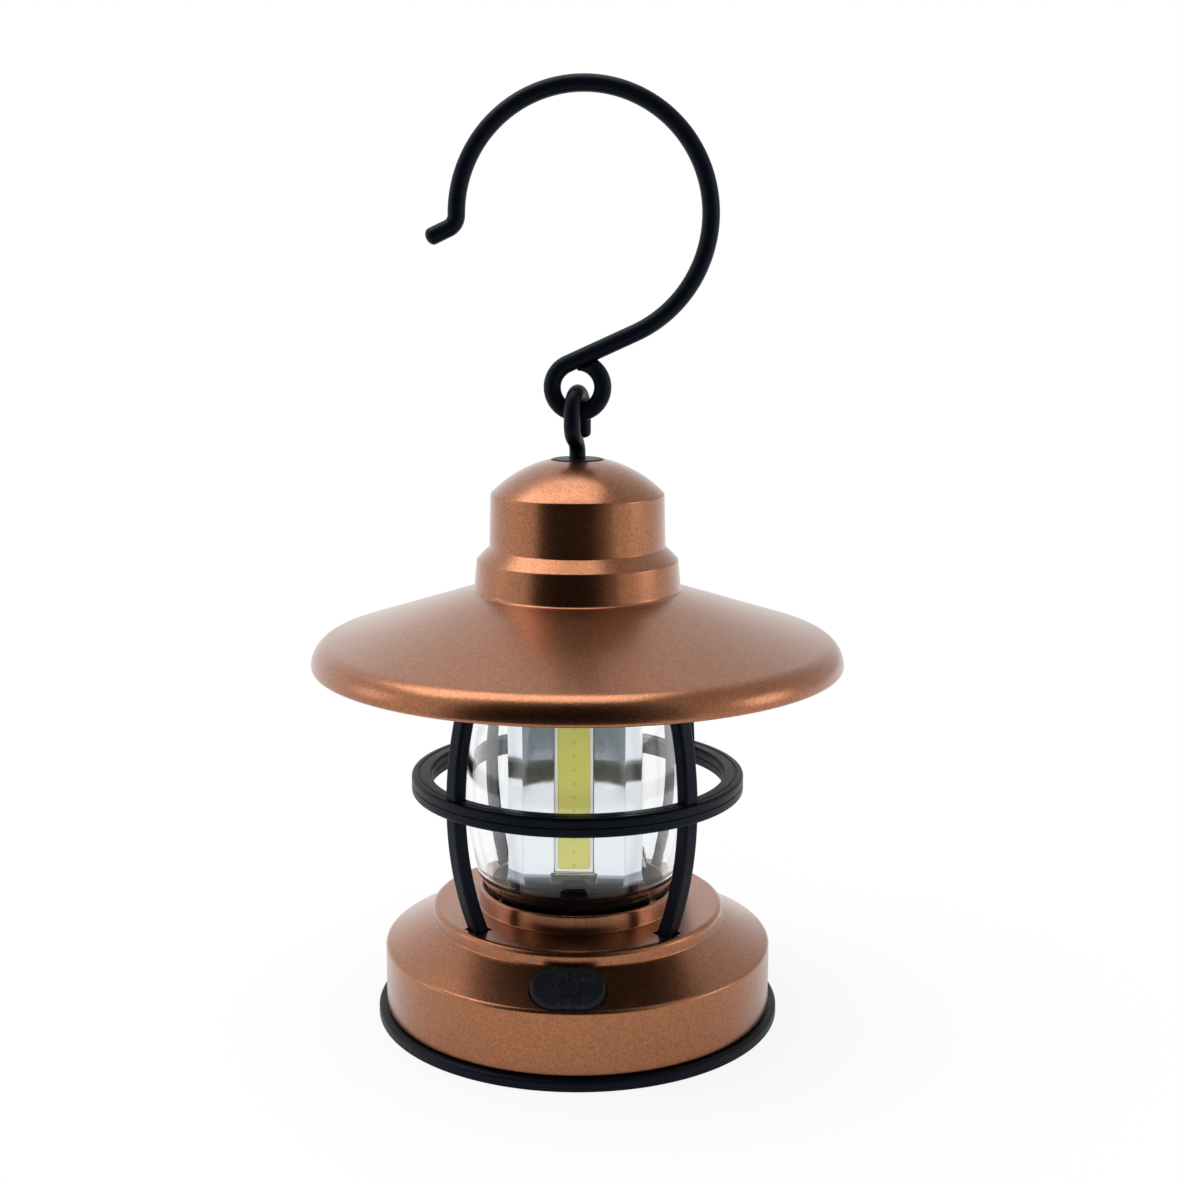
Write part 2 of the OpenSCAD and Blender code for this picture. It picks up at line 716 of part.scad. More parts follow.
function base_line(t, low, rounded) = concat(
    [[0, low], [base_r - t, low]],
    rounded ? arc([base_r - shoulder_round, shoulder_z - drop(shoulder_round)],
            shoulder_round, 0, 90 - slope, 6)
        : [[base_r - t, shoulder_z - drop(t)]],
    [[plateau_r - t, step_z - drop(t)]],
    rounded ? arc([plateau_r - plateau_round, plateau_z - plateau_round], plateau_round, 0, 90, 6)
        : [[plateau_r - t, plateau_z - t]],
    [[0, plateau_z - t]]
);

module base_shell() color(copper) difference() {
    union() {
        difference() {
            rotate_extrude() polygon(base_line(0, wall_z, true));
            rotate_extrude() polygon(base_line(wall, wall_z - 1, false));
        }
        translate([0, 0, plateau_z]) globe_collar(collar_h);
        at_tray_screws(tray_top) cylinder(r = tray_boss_r, h = plateau_under - tray_top + root);
        at_board_screws(board_n) cylinder(r = pcb_boss_r, h = wall / 2 - wall - board_n);
        for (a = lug_at) {
            half = lug_angle / 2;
            tab_end = half + tab_more;
            sector(base_in_r - tab_d, base_in_r + root, tab_low, tab_low + tab_t, a - tab_end, a + tab_end);
            sector(base_in_r - tab_d, base_in_r + root, tab_low + root, lug_low + lug_t,
                a - tab_end - stop_angle, a - half - stop_gap);
        }
    }
    translate([0, 0, plateau_under - 1]) cylinder(r = cable_hole_r, h = wall + 2);
    at_corners(column_screw) translate([0, 0, plateau_under - 1])
        cylinder(d = screw_d + 2 * fit_gap, h = wall + 2);
    peg_slots(rib_foot_r, plateau_under, plateau_z);
    on_shoulder(-2 * wall) linear_extrude(4 * wall) grown_pill(button_gap);
    on_shoulder(board_n) linear_extrude(pocket_n - board_n) grown_pill(flange_lip + button_gap);
    at_tray_screws(tray_top - 1) cylinder(d = screw_d + 2 * screw_gap, h = plateau_under - tray_top + 1);
    at_board_screws(board_n - 1) cylinder(d = pcb_screw_d + 2 * screw_gap, h = 1 - wall - board_n);
}

module column_base_screws() color(steel) at_corners(column_screw) translate([0, 0, plateau_under])
    screw(screw_d, wall + column_screw_len - screw_short, screw_head_d, screw_head_h);

// Outline of the button, grown all round
module grown_pill(more) pill(button_w + 2 * more, button_h + 2 * more);

// Soft button with a flange behind the shoulder and a raised on-off sign
module power_button() color(black) on_shoulder() {
    hull($fn = 48) {
        translate([0, 0, flange_n]) linear_extrude(button_proud - flange_n - button_edge) grown_pill(0);
        translate([0, 0, flange_n]) linear_extrude(button_proud - flange_n) grown_pill(-button_edge);
    }
    translate([0, 0, flange_n - flange_t]) linear_extrude(flange_t) grown_pill(flange_lip);
    translate([0, 0, button_proud]) {
        rotate(90 + sign_gap) rotate_extrude(angle = 360 - 2 * sign_gap) translate([sign_r, 0])
            square([sign_w, sign_t]);
        translate([-sign_w / 2, sign_r * 0.6, 0]) cube([sign_w, sign_r, sign_t]);
    }
}

module switch_plunger() color("#8c2f2a") on_shoulder(plunger_n - plunger_len)
    cylinder(r = plunger_r, h = plunger_len);

module tact_switch() color("#26282c") on_shoulder(board_n) difference() {
    translate([-switch_w / 2, -switch_w / 2, 0]) cube([switch_w, switch_w, switch_t]);
    translate([0, 0, switch_t - switch_bore]) cylinder(r = plunger_r + fit_gap, h = switch_bore + 1);
}

module circuit_board() color("#1f5a3a") difference() {
    on_shoulder(board_n - pcb_t) translate([-pcb_w / 2, pcb_y[0], 0])
        cube([pcb_w, pcb_y[1] - pcb_y[0], pcb_t]);
    at_board_screws(board_n - pcb_t - 1) cylinder(d = pcb_screw_d + 2 * fit_gap, h = pcb_t + 2);
}

module driver_chip() color("#17181a") on_shoulder(board_n - pcb_t - chip_size[2])
    translate([-chip_size[0] / 2, chip_y - chip_size[1] / 2, 0]) cube(chip_size);

module board_screws() color(steel) at_board_screws(board_n - pcb_t)
    screw(pcb_screw_d, pcb_t - wall - board_n - screw_short, pcb_head_d, pcb_head_h);

module battery_tray() color("#1b1c20") difference() {
    intersection() {
        translate([-tray_in[0] - tray_end_t, -tray_in[1] - tray_side_t, tray_bottom])
            cube([2 * (tray_in[0] + tray_end_t), 2 * (tray_in[1] + tray_side_t), tray_top - tray_bottom]);
        rotate_extrude() polygon(base_line(wall + tray_clear, 0, false));
    }
    difference() {
        translate([-tray_in[0], -tray_in[1], tray_bottom - 1])
            cube([2 * tray_in[0], 2 * tray_in[1], tray_under - tray_bottom + 1]);
        for (y = [-1, 1]) translate([-fin[0] / 2, (y * cell_pitch - fin[1]) / 2, tray_under - fin[2]])
            cube([fin[0], fin[1], fin[2] + 1]);
    }
    at_tray_screws(tray_under - 1) cylinder(d = screw_d + 2 * fit_gap, h = tray_top_t + 2);
    for (s = [-1, 1]) translate([s * lead_hole[0], -s * lead_hole[1], tray_under - 1])
        cylinder(d = lead_d + 4 * fit_gap, h = tray_top_t + 2);
}

module tray_screws() color(steel) at_tray_screws(tray_under)
    screw(screw_d, plateau_under - tray_under - screw_short, tray_head_d, screw_head_h);

// Cells lie side by side along x and face in turn left and right; side is +1 where the nub faces +x
function cell_side(i) = i % 2 == 1 ? 1 : -1;

function cell_y(i) = (i - (CELLS + 1) / 2) * cell_pitch;

module cell(i) color("#c9a24a") translate([0, cell_y(i), cell_z]) rotate([0, 90 * cell_side(i), 0])
    translate([0, 0, tray_in[0] - contact_t - cell_len]) {
        cylinder(r = cell_r, h = cell_len - nub_h);
        translate([0, 0, cell_len - nub_h]) cylinder(r = nub_r, h = nub_h);
    }

module contact_springs() color(steel) for (i = [1:CELLS])
    translate([0, cell_y(i), cell_z]) rotate([0, -90 * cell_side(i), 0]) {
        turns = spring_turns * spring_steps;
        low = tray_in[0] - contact_t - spring_len + spring_wire / 2;
        widen = spring_big_r - spring_small_r;
        tube([for (k = [0:turns])
            let (f = k / turns, r = spring_small_r + widen * f, a = 360 * k / spring_steps)
                [r * cos(a), r * sin(a), low + (spring_len - spring_wire) * f]], spring_wire, 6);
    }

// Plates on the tray's end walls: each end has one single plate and one that joins two cells
module contact_plates() color(chrome) for (s = [-1, 1])
    translate([s > 0 ? tray_in[0] - contact_t : -tray_in[0], -contact_w / 2, cell_z - contact_w / 2]) {
        translate([0, -s * cell_pitch, 0]) cube([contact_t, contact_w, contact_w + contact_tab]);
        translate([0, (s - 1) / 2 * cell_pitch, 0]) cube([contact_t, cell_pitch + contact_w, contact_w]);
    }

// A lead from the single plate at one end of the tray to the switch board
function supply_route(s) = [
    [s * lead_hole[0], -s * lead_hole[1], tray_under - 0.5],
    [s * lead_hole[0], -s * lead_hole[1], tray_top + 0.2],
    [s * (lead_hole[0] - 1.5), -s * lead_hole[1] - 1, tray_top + 0.8],
    [s * 17, -13.5, tray_top + 0.9],
    [s * 10, -17.5, tray_top + 0.9],
    [s * 5.5, -button_r + 10.4, tray_top + 0.8],
    shoulder_point(s * pad_x, pad_y + 0.2, board_n + lead_d * 1.6),
    shoulder_point(s * pad_x, pad_y, board_n + lead_d * 0.6)
];

module supply_lead_red() color("firebrick") tube(supply_route(1), lead_d);

module supply_lead_black() color("#202020") tube(concat(
    [for (k = [0:2]) supply_route(-1)[k]],
    [[-19.5, 1, tray_top + 0.9], [-19.5, -8, tray_top + 0.9]],
    [for (k = [3:7]) supply_route(-1)[k]]
), lead_d);

// Bottom cover: a rimmed disc with a coin slot below, and a spigot and bayonet posts above
module base_cover() color(black) {
    rest_r = cover_r - cover_rest_w;
    difference() {
        rotate_extrude() polygon(concat(
            [[0, cover_recess], [rest_r, cover_recess], [rest_r + cover_recess, 0]],
            [[cover_r - cover_edge / 2, 0], [cover_r, cover_edge / 2]],
            arc([cover_r - cover_edge, cover_t - cover_edge], cover_edge, 0, 90, 5),
            [[0, cover_t]]
        ));
        translate([-coin_slot[0] / 2, -coin_slot[1] / 2, cover_recess - 1])
            cube([coin_slot[0], coin_slot[1], coin_slot[2] + 1]);
    }
    ring(base_in_r - spigot_gap - spigot_t, base_in_r - spigot_gap, cover_t - root, cover_t + spigot_h);
    for (a = lug_at) rotate(a - lug_angle / 2) rotate_extrude(angle = lug_angle) polygon([
        [post_out_r - post_t, cover_t - root],
        [post_out_r, cover_t - root],
        [post_out_r, lug_low],
        [lug_out_r, lug_low],
        [lug_out_r, lug_low + lug_t],
        [post_out_r - post_t, lug_low + lug_t]
    ]);
}

hook();
hook_eye();
eye_washer();
eye_nut();
crown_bush();
shade();
shade_screws();
ceiling_plate();
column_top_screws();
upper_cage();
lower_cage();
globe();
upper_gasket();
lower_gasket();
led_column();
led_jumpers();
led_lead_red();
led_lead_black();
base_shell();
column_base_screws();
power_button();
switch_plunger();
tact_switch();
circuit_board();
driver_chip();
board_screws();
battery_tray();
tray_screws();
contact_springs();
contact_plates();
supply_lead_red();
supply_lead_black();
base_cover();
for (i = [1:FACES]) led_board(i);
for (i = [1:FACES]) led_phosphor(i);
for (i = [1:CELLS]) cell(i);
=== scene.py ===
# %% [markdown]
# # A small camping lantern
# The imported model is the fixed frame: it says where each part is and how it moves. This file gives the parts
# that show their final surfaces, gives every part its finish, and sets up a plain studio around them. Shapes
# are worked out in millimetres and become metres when a mesh is made.

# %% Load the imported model
import math
import bmesh
import bpy
import numpy as np
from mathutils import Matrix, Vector


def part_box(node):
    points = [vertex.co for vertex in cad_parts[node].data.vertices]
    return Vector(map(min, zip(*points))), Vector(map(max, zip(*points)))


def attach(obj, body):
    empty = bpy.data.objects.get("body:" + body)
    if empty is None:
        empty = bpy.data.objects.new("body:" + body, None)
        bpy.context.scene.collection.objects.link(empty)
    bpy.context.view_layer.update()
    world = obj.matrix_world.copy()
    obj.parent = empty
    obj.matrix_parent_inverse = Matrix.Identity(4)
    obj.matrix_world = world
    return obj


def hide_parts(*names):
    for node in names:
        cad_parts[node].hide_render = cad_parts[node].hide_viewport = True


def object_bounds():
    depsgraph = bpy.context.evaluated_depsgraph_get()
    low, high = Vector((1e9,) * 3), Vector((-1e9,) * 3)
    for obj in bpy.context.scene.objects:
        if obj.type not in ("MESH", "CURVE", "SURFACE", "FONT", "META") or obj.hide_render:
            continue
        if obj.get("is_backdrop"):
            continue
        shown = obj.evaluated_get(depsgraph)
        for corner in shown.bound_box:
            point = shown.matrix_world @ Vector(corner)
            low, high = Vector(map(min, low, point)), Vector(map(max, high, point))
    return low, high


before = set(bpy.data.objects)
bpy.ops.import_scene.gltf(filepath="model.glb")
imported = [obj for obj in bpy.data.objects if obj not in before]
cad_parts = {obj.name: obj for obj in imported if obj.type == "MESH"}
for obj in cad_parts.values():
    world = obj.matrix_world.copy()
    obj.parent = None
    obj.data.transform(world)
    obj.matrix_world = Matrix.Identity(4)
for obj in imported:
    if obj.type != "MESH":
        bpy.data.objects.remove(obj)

MM = 0.001
cad_low, cad_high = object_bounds()
print("nodes", len(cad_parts), "size in mm", [round(v / MM, 1) for v in cad_high - cad_low])

# %% [markdown]
# ## The camera
# The photograph was taken a little above the lantern's middle, from about 290 mm away and 3 degrees to the
# right of the button. Lines that should be parallel and the ovals of the rings gave the lens and the tilt.
# The lantern stands a little left of the middle of the picture, which is a small shift of the lens.

# %% Camera
FRAME_PX, AXIS_PX, FOCAL_PX = 1182, 577.5, 1748
TILT_DEG, RIGHT_DEG = 10.4, 3
lens = bpy.data.cameras.new("photo_camera")
lens.sensor_width = 36
lens.lens = lens.sensor_width * FOCAL_PX / FRAME_PX
lens.shift_x = (FRAME_PX / 2 - AXIS_PX) / FRAME_PX
lens.clip_start = 0.01
camera = bpy.data.objects.new("photo_camera", lens)
camera.location = np.array([15.26, -291.1, 127.57]) * MM
camera.rotation_euler = np.radians([90 - TILT_DEG, 0, RIGHT_DEG])
bpy.context.scene.collection.objects.link(camera)
bpy.context.scene.camera = camera
bpy.context.scene.view_settings.view_transform = "Standard"
print("lens", round(lens.lens, 2), "mm")

# %% [markdown]
# ## Tools for surfaces
# Nearly every part here is turned, moulded from a turned shape, or bent from wire. So two tools do most of
# the work: an outline turned about the axis, and a section carried along a path. A moulded edge is never
# sharp, and the thin bright lines in the photograph are such edges, so an outline can round each of its
# corners.

# %% Outlines
def arc(centre, radius, start, end, count):
    """Points on a circle: centre + radius (cos t, sin t), t from start to end in degrees."""
    t = np.radians(np.linspace(start, end, count))
    return np.asarray(centre, float) + radius * np.stack([np.cos(t), np.sin(t)], -1)


def circle(radius, count):
    """A whole circle about the origin."""
    return arc((0, 0), radius, 0, 360, count + 1)[:-1]


def plain(points):
    """Points of an outline that stay as they are: each gets the radius -1."""
    points = np.atleast_2d(np.asarray(points, float))
    return np.column_stack([points, np.full(len(points), -1.0)])


def rounded(*parts, steps=6, near=0.12):
    """A closed outline from rows of x, y and radius. A corner with half angle h is replaced by an arc that
    starts radius / tan h from it on both sides. One more point just outside each end of the arc keeps the
    change of the surface's direction inside the corner. A row with the radius -1 is one plain point."""
    rows = np.concatenate([np.atleast_2d(np.asarray(part, float)) for part in parts])
    p, r = rows[:, :2], np.maximum(rows[:, 2:], 0)
    back, ahead = np.roll(p, 1, 0) - p, np.roll(p, -1, 0) - p
    back_len, ahead_len = (np.linalg.norm(v, axis=1, keepdims=True) for v in (back, ahead))
    back, ahead = back / back_len, ahead / ahead_len
    half = np.arccos(np.clip((back * ahead).sum(1, keepdims=True), -1, 1)) / 2
    half = np.minimum(half, math.pi / 2 - 1e-6)
    reach = r / np.tan(half)
    middle = back + ahead
    middle = middle / np.maximum(np.linalg.norm(middle, axis=1, keepdims=True), 1e-9)
    centre = p + middle * r / np.sin(half)
    first, last = p + back * reach - centre, p + ahead * reach - centre
    turn = np.arctan2(first[:, 0] * last[:, 1] - first[:, 1] * last[:, 0], (first * last).sum(1))
    angle = np.arctan2(first[:, 1], first[:, 0])[:, None] + turn[:, None] * np.linspace(0, 1, steps + 1)
    bow = centre[:, None] + r[:, None] * np.stack([np.cos(angle), np.sin(angle)], -1)
    most = 0.45  # share of a side that the arc and its outer point may take up
    before = p + back * np.minimum(reach + near, np.maximum(reach, back_len * most))
    after = p + ahead * np.minimum(reach + near, np.maximum(reach, ahead_len * most))
    every = np.concatenate([before[:, None], bow, after[:, None]], 1)
    single = rows[:, 2] < 0
    every[single, 0] = p[single]
    keep = np.ones(every.shape[:2], bool)
    keep[single, 1:] = False
    return every[keep]


def rectangle(width, height, radius, **how):
    """A rectangle about the origin with round corners; with a radius of half its height it is a bar."""
    w, h = width / 2, height / 2
    return rounded([(w, -h, radius), (w, h, radius), (-w, h, radius), (-w, -h, radius)], **how)


print("a square with round corners has", len(rectangle(9, 9, 1)), "points")


# %% Surfaces
def skin(grid, close_rows=False, close_columns=True, caps=False):
    """A grid of points (rows, columns, 3) as vertices and four-sided faces. It closes on itself along its rows
    or columns, or ends in flat caps."""
    rows, columns = grid.shape[:2]
    i = np.arange(rows if close_rows else rows - 1)[:, None]
    j = np.arange(columns if close_columns else columns - 1)[None]
    k, m = (i + 1) % rows, (j + 1) % columns
    corners = i * columns + j, k * columns + j, k * columns + m, i * columns + m
    faces = np.stack(np.broadcast_arrays(*corners), -1).reshape(-1, 4).tolist()
    if caps:
        faces += [list(range(columns)), list(range((rows - 1) * columns, rows * columns))]
    return grid.reshape(-1, 3), faces


def turned(outline, count=192, start=0, end=360, closed=True):
    """An outline of radius and height turned about the lantern's axis: (r cos a, r sin a, z)."""
    whole = end - start == 360
    a = np.radians(np.linspace(start, end, count, endpoint=not whole))[:, None]
    r, z = np.asarray(outline, float)[:, :2].T
    grid = np.stack([r * np.cos(a), r * np.sin(a), z + 0 * a], -1)
    if whole:
        return skin(grid.transpose(1, 0, 2), close_rows=closed)
    return skin(grid, caps=True)


def carried(path, section, step=0.4, ends=(0, 0)):
    """A section carried along a path in a plane. At the distance s the middle is p(s), the section's first
    coordinate goes along the path's sideways direction and its second one out of the plane. Within the length
    e of a rounded end the section shrinks as a ball does, by sqrt(1 - (1 - s / e)^2)."""
    path = np.asarray(path, float)
    run = np.concatenate([[0], np.cumsum(np.linalg.norm(np.diff(path, axis=0), axis=1))])
    total = run[-1]
    first, last = (e * (1 - np.cos(np.linspace(0, math.pi / 2, 8 if e else 1))) for e in ends)
    s = np.linspace(ends[0], total - ends[1], max(2, int(total / step)))
    s = np.unique(np.concatenate([first, s, total - last]).round(6))
    at = lambda q: np.stack([np.interp(q, run, path[:, k]) for k in (0, 1)], -1)
    little = 0.02
    along = at(s + little) - at(s - little)
    along /= np.linalg.norm(along, axis=1, keepdims=True)
    in_end = [np.clip(q / e, 0, 1) if e else np.ones(len(s)) for q, e in zip((s, total - s), ends)]
    size = np.sqrt(1 - (1 - np.minimum(*in_end)) ** 2)
    side = np.stack([-along[:, 1], along[:, 0]], -1)
    flat = at(s)[:, None] + (size[:, None, None] * section[None, :, :1]) * side[:, None]
    out = size[:, None] * section[None, :, 1]
    return np.concatenate([flat, out[..., None]], -1)


def stacked(layers):
    """Outlines one above the other: each layer is an outline of x and y, and its height n."""
    return np.stack([np.column_stack([line, np.full(len(line), n)]) for line, n in layers])


def upright(grid):
    """A flat shape stood up: its x, y and out of the plane become x, z and y."""
    return grid[..., [0, 2, 1]]


def moved(surface, angle):
    """A surface turned about the lantern's axis by an angle in degrees."""
    c, s = math.cos(math.radians(angle)), math.sin(math.radians(angle))
    return surface[0] @ np.array([[c, s, 0], [-s, c, 0], [0, 0, 1]]), surface[1]


def four(surface, first=0):
    """The same surface at four places round the axis."""
    return [moved(surface, first + 90 * k) for k in range(4)]


CORNERS_DEG = 45  # the cage's ribs and the shade's bosses stand between the front and the sides
FINE = 256  # steps round the axis on the large parts
print("a bar carried along 10 mm has", len(carried([(0, 0), (10, 0)], circle(1, 12))), "rings of points")


# %% Pieces
def make_piece(name, surfaces):
    """One mesh object from several surfaces: doubles merged and faces outward."""
    starts = np.cumsum([0] + [len(p) for p, _ in surfaces])
    faces = [[v + s for v in face] for (_, part), s in zip(surfaces, starts) for face in part]
    mesh = bpy.data.meshes.new(name)
    mesh.from_pydata(np.concatenate([p for p, _ in surfaces]) * MM, [], faces)
    work = bmesh.new()
    work.from_mesh(mesh)
    bmesh.ops.remove_doubles(work, verts=work.verts, dist=2e-7)
    bmesh.ops.recalc_face_normals(work, faces=work.faces)
    work.to_mesh(mesh)
    work.free()
    piece = bpy.data.objects.new(name, mesh)
    bpy.context.scene.collection.objects.link(piece)
    return piece


def dress(piece, finish, body, nodes, sharp=30):
    """Gives a piece its shading and finish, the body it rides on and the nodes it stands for."""
    mesh = piece.data
    mesh.materials.clear()
    mesh.materials.append(finish)
    mesh.polygons.foreach_set("material_index", np.zeros(len(mesh.polygons), np.int32))
    mesh.shade_smooth()
    mesh.set_sharp_from_angle(angle=math.radians(sharp))
    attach(piece, body)
    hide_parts(*nodes)
    room = np.array([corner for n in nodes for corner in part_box(n)])
    own = np.array(piece.bound_box)
    past = max((own - room.max(0)).max(), (room.min(0) - own).max()) / MM
    print(piece.name, len(mesh.polygons), "faces, past its nodes' box by", round(float(past), 2), "mm")


def cut(piece, cutter):
    """Takes a cutter's volume out of a piece with an exact Boolean; the result becomes the piece's mesh."""
    knife = piece.modifiers.new("cut", "BOOLEAN")
    knife.object = cutter
    knife.solver = "EXACT"
    shaped = piece.evaluated_get(bpy.context.evaluated_depsgraph_get())
    old, piece.data = piece.data, bpy.data.meshes.new_from_object(shaped)
    piece.modifiers.clear()
    edge = cutter.data
    bpy.data.objects.remove(cutter)
    bpy.data.meshes.remove(edge)
    bpy.data.meshes.remove(old)


def join(piece, other):
    """Adds another piece's mesh to a piece and removes the other."""
    work = bmesh.new()
    work.from_mesh(piece.data)
    work.from_mesh(other.data)
    work.to_mesh(piece.data)
    work.free()
    bpy.data.objects.remove(other)


# %% [markdown]
# ## Tools for finishes
# A finish is a Principled shader with patterns worked out in space. Colours are written as they look on a
# screen and turned to linear light here. Object coordinates are in metres, so a pattern whose features are
# some millimetres wide has a scale of 1000 over that width.

# %% Colours and nodes
def linear(code):
    """An sRGB colour such as #8e5d41 as linear red, green, blue and alpha."""
    c = np.array([int(code[i:i + 2], 16) for i in (1, 3, 5)]) / 255
    return (*np.where(c <= 0.04045, c / 12.92, ((c + 0.055) / 1.055) ** 2.4).tolist(), 1.0)


def per(size_mm):
    """Scale of a pattern whose features are that many millimetres wide."""
    return 1 / (size_mm * MM)


def feed(tree, node, inputs):
    """Inputs maps the name or number of a node's input to a value, or to a socket that is linked to it."""
    for key, value in inputs.items():
        if isinstance(value, bpy.types.NodeSocket):
            tree.links.new(value, node.inputs[key])
        else:
            node.inputs[key].default_value = value


def add(tree, kind, inputs, **settings):
    """Adds a node with its own settings and feeds its inputs."""
    node = tree.nodes.new(kind)
    for key, value in settings.items():
        setattr(node, key, value)
    feed(tree, node, inputs)
    return node


def new_finish(name, values):
    """A material with these values on its Principled shader, with its tree, shader and coordinates."""
    material = bpy.data.materials.new(name)
    material.use_nodes = True
    tree = material.node_tree
    shader = tree.nodes["Principled BSDF"]
    feed(tree, shader, values)
    return material, tree, shader, add(tree, "ShaderNodeTexCoord", {}).outputs["Object"]


# Numbers of the two colours and of the result of a Mix node that mixes colours
MIX_A, MIX_B, MIX_OUT = 6, 7, 2
print("the grey #808080 is", round(linear("#808080")[0], 3), "in linear light")

# %% [markdown]
# ## Copper paint
# The shade and the base are moulded ABS, sprayed with a metallic copper paint under a thin satin lacquer. The
# paint is flakes of metal in a brown binder: it shows soft reflections in its own colour, turns pale where it
# is seen at a flat angle, and has a fine sparkle because the flakes lie at slightly different angles. The
# flakes are far finer than a pixel, so they are drawn as cells 0.25 mm wide, as coarse as they need to be to
# show.

# %% Copper paint
copper_paint, tree, shader, place = new_finish("sprayed_copper_paint", {
    "Metallic": 1.0, "Coat Weight": 0.75, "Coat Roughness": 0.25, "Coat IOR": 1.5})
flakes = add(tree, "ShaderNodeTexVoronoi", {"Vector": place, "Scale": per(0.25)})
glint = add(tree, "ShaderNodeSeparateColor", {"Color": flakes.outputs["Color"]})
tone = add(tree, "ShaderNodeMix", {
    0: glint.outputs["Red"], MIX_A: linear("#8c5432"), MIX_B: linear("#a86a42")}, data_type="RGBA")
cloud = add(tree, "ShaderNodeTexNoise", {"Vector": place, "Scale": per(9), "Detail": 3.0})
rough = add(tree, "ShaderNodeMapRange", {"Value": cloud.outputs["Fac"], "To Min": 0.25, "To Max": 0.32})
grain = add(tree, "ShaderNodeBump", {
    "Height": glint.outputs["Green"], "Strength": 0.12, "Distance": 0.05 * MM})
feed(tree, shader, {"Base Color": tone.outputs[MIX_OUT], "Roughness": rough.outputs["Result"],
                    "Normal": grain.outputs["Normal"]})
print(copper_paint.name)

# %% [markdown]
# ## The shade
# One moulded shell: a rounded rim, a shallow cone, a collar with a bevel, a chimney and a domed crown with a
# seat for the bush. It could be modelled from a cylinder with many bevels, but it is a turned shape, so its
# outline is drawn once, outside and inside, and turned. The fillets are what catches the light as thin lines.
# Four screw bosses hang under the cone.

# %% Shade
DOME_Z, DOME_R, SHADE_WALL = 76.79, 20.2, 1.6
SLOPE_DEG, RIM_R = 18.028, 4.2
rim_c = np.array([40.8, 62.5])
crease = np.array([17.5, 74.5])
rim_top = arc(rim_c, RIM_R, 90 - SLOPE_DEG, 90 - SLOPE_DEG, 1)[0]
down = (rim_top - crease) / np.linalg.norm(rim_top - crease)
shade_outline = rounded(
    [(4.45, 95.74, 0), (4.45, 96.494, 0.15)],
    plain(arc((0, DOME_Z), DOME_R, 76, 45, 44)),
    [(14.6, 90.75, 0.5), (14.85, 81.85, 0.3), (17, 79.7, 0.45), (*crease, 0.6)],
    plain([rim_top - 0.15 * down]),
    plain(arc(rim_c, RIM_R, 90 - SLOPE_DEG, 0, 34)),
    plain(arc((44.4, 62.5), 0.6, -9, -90, 9)),
    [(43.4, 61.9, 0.2)],
    plain(arc(rim_c, RIM_R - SHADE_WALL, 0, 90 - SLOPE_DEG, 14)),
    [(15.9, 73.338, 0), (15.4, 79.037, 0), (13.25, 81.187, 0)],
    plain(arc((0, DOME_Z), DOME_R - SHADE_WALL, 46, 80, 16)),
    [(3.0, 95.146, 0), (3.0, 95.74, 0)])


def boss(x, radius, hole, low):
    """A tube about (x, 0) from a height up into the cone's wall: its upper edge follows the cone."""
    a = np.radians(np.linspace(0, 360, 32, endpoint=False))
    r = np.array([radius, radius, hole, hole])[:, None]
    px, py = x + r * np.cos(a), r * np.sin(a)
    slope = math.tan(math.radians(SLOPE_DEG))
    cone = crease[1] - (np.hypot(px, py) - crease[0]) * slope - SHADE_WALL / 2
    z = np.where(np.array([0, 1, 1, 0])[:, None] > 0, cone, low)
    return skin(np.stack([px, py, z], -1), close_rows=True)


bosses = four(boss(x=30, radius=3, hole=1.15, low=63.3), CORNERS_DEG)
shade = make_piece("shade_shell", [turned(shade_outline, FINE)] + bosses)
dress(shade, copper_paint, "lantern", ["shade"])

# %% [markdown]
# ## The base
# A second turned shell: a side wall, a sloping shoulder, a flat top and a collar that holds the globe. The
# button's hole and the sockets of the cage's four feet are cut into it afterwards, which is how the mould
# makes them too: the sockets are a little larger than the feet, so a dark line shows round each foot.

# %% Base
PLATEAU_Z = 19.4
base_outline = rounded([
    (33.42, 2.1, 0.15), (33.42, 12.8, 0.8), (25.22, 17.0, 0.3), (25.22, PLATEAU_Z, 0.9),
    (17.23, PLATEAU_Z, 0.2), (16.93, 22.4, 0.3), (16.33, 22.4, 0.25), (16.33, PLATEAU_Z, 0),
    (4.5, PLATEAU_Z, 0), (4.5, 17.8, 0), (23.62, 17.8, 0), (23.62, 16.02, 0),
    (31.82, 11.82, 0), (31.82, 2.1, 0.1)])
base = make_piece("base_shell_painted", [turned(base_outline, FINE)])

SHOULDER = math.radians(27.1213)
BUTTON_AT = np.array([0, -29.32, 14.9])
BUTTON_W, BUTTON_H, BUTTON_PLAY = 12.1, 8, 0.25
SOCKET_R = 22.22


def on_shoulder(grid):
    """Points x, y up the slope and n out of it, about the button: x, y cos s - n sin s, y sin s + n cos s."""
    x, y, n = np.moveaxis(grid, -1, 0)
    c, s = math.cos(SHOULDER), math.sin(SHOULDER)
    return np.stack([x, y * c - n * s, y * s + n * c], -1) + BUTTON_AT


def button_line(inset, steps=14):
    """The button's outline, drawn in by an inset."""
    return rectangle(BUTTON_W - 2 * inset, BUTTON_H - 2 * inset, BUTTON_H / 2 - inset, steps=steps)


hole = stacked([(button_line(-BUTTON_PLAY, steps=12), n) for n in (-3.5, 3.5)])
socket = stacked([(rectangle(3.4, 3.6, 0.4) + (SOCKET_R, 0), n) for n in (18.7, 21.0)])
cutters = [skin(on_shoulder(hole), caps=True)] + four(skin(socket, caps=True), CORNERS_DEG)
cut(base, make_piece("cutter", cutters))
dress(base, copper_paint, "lantern", ["base_shell"])

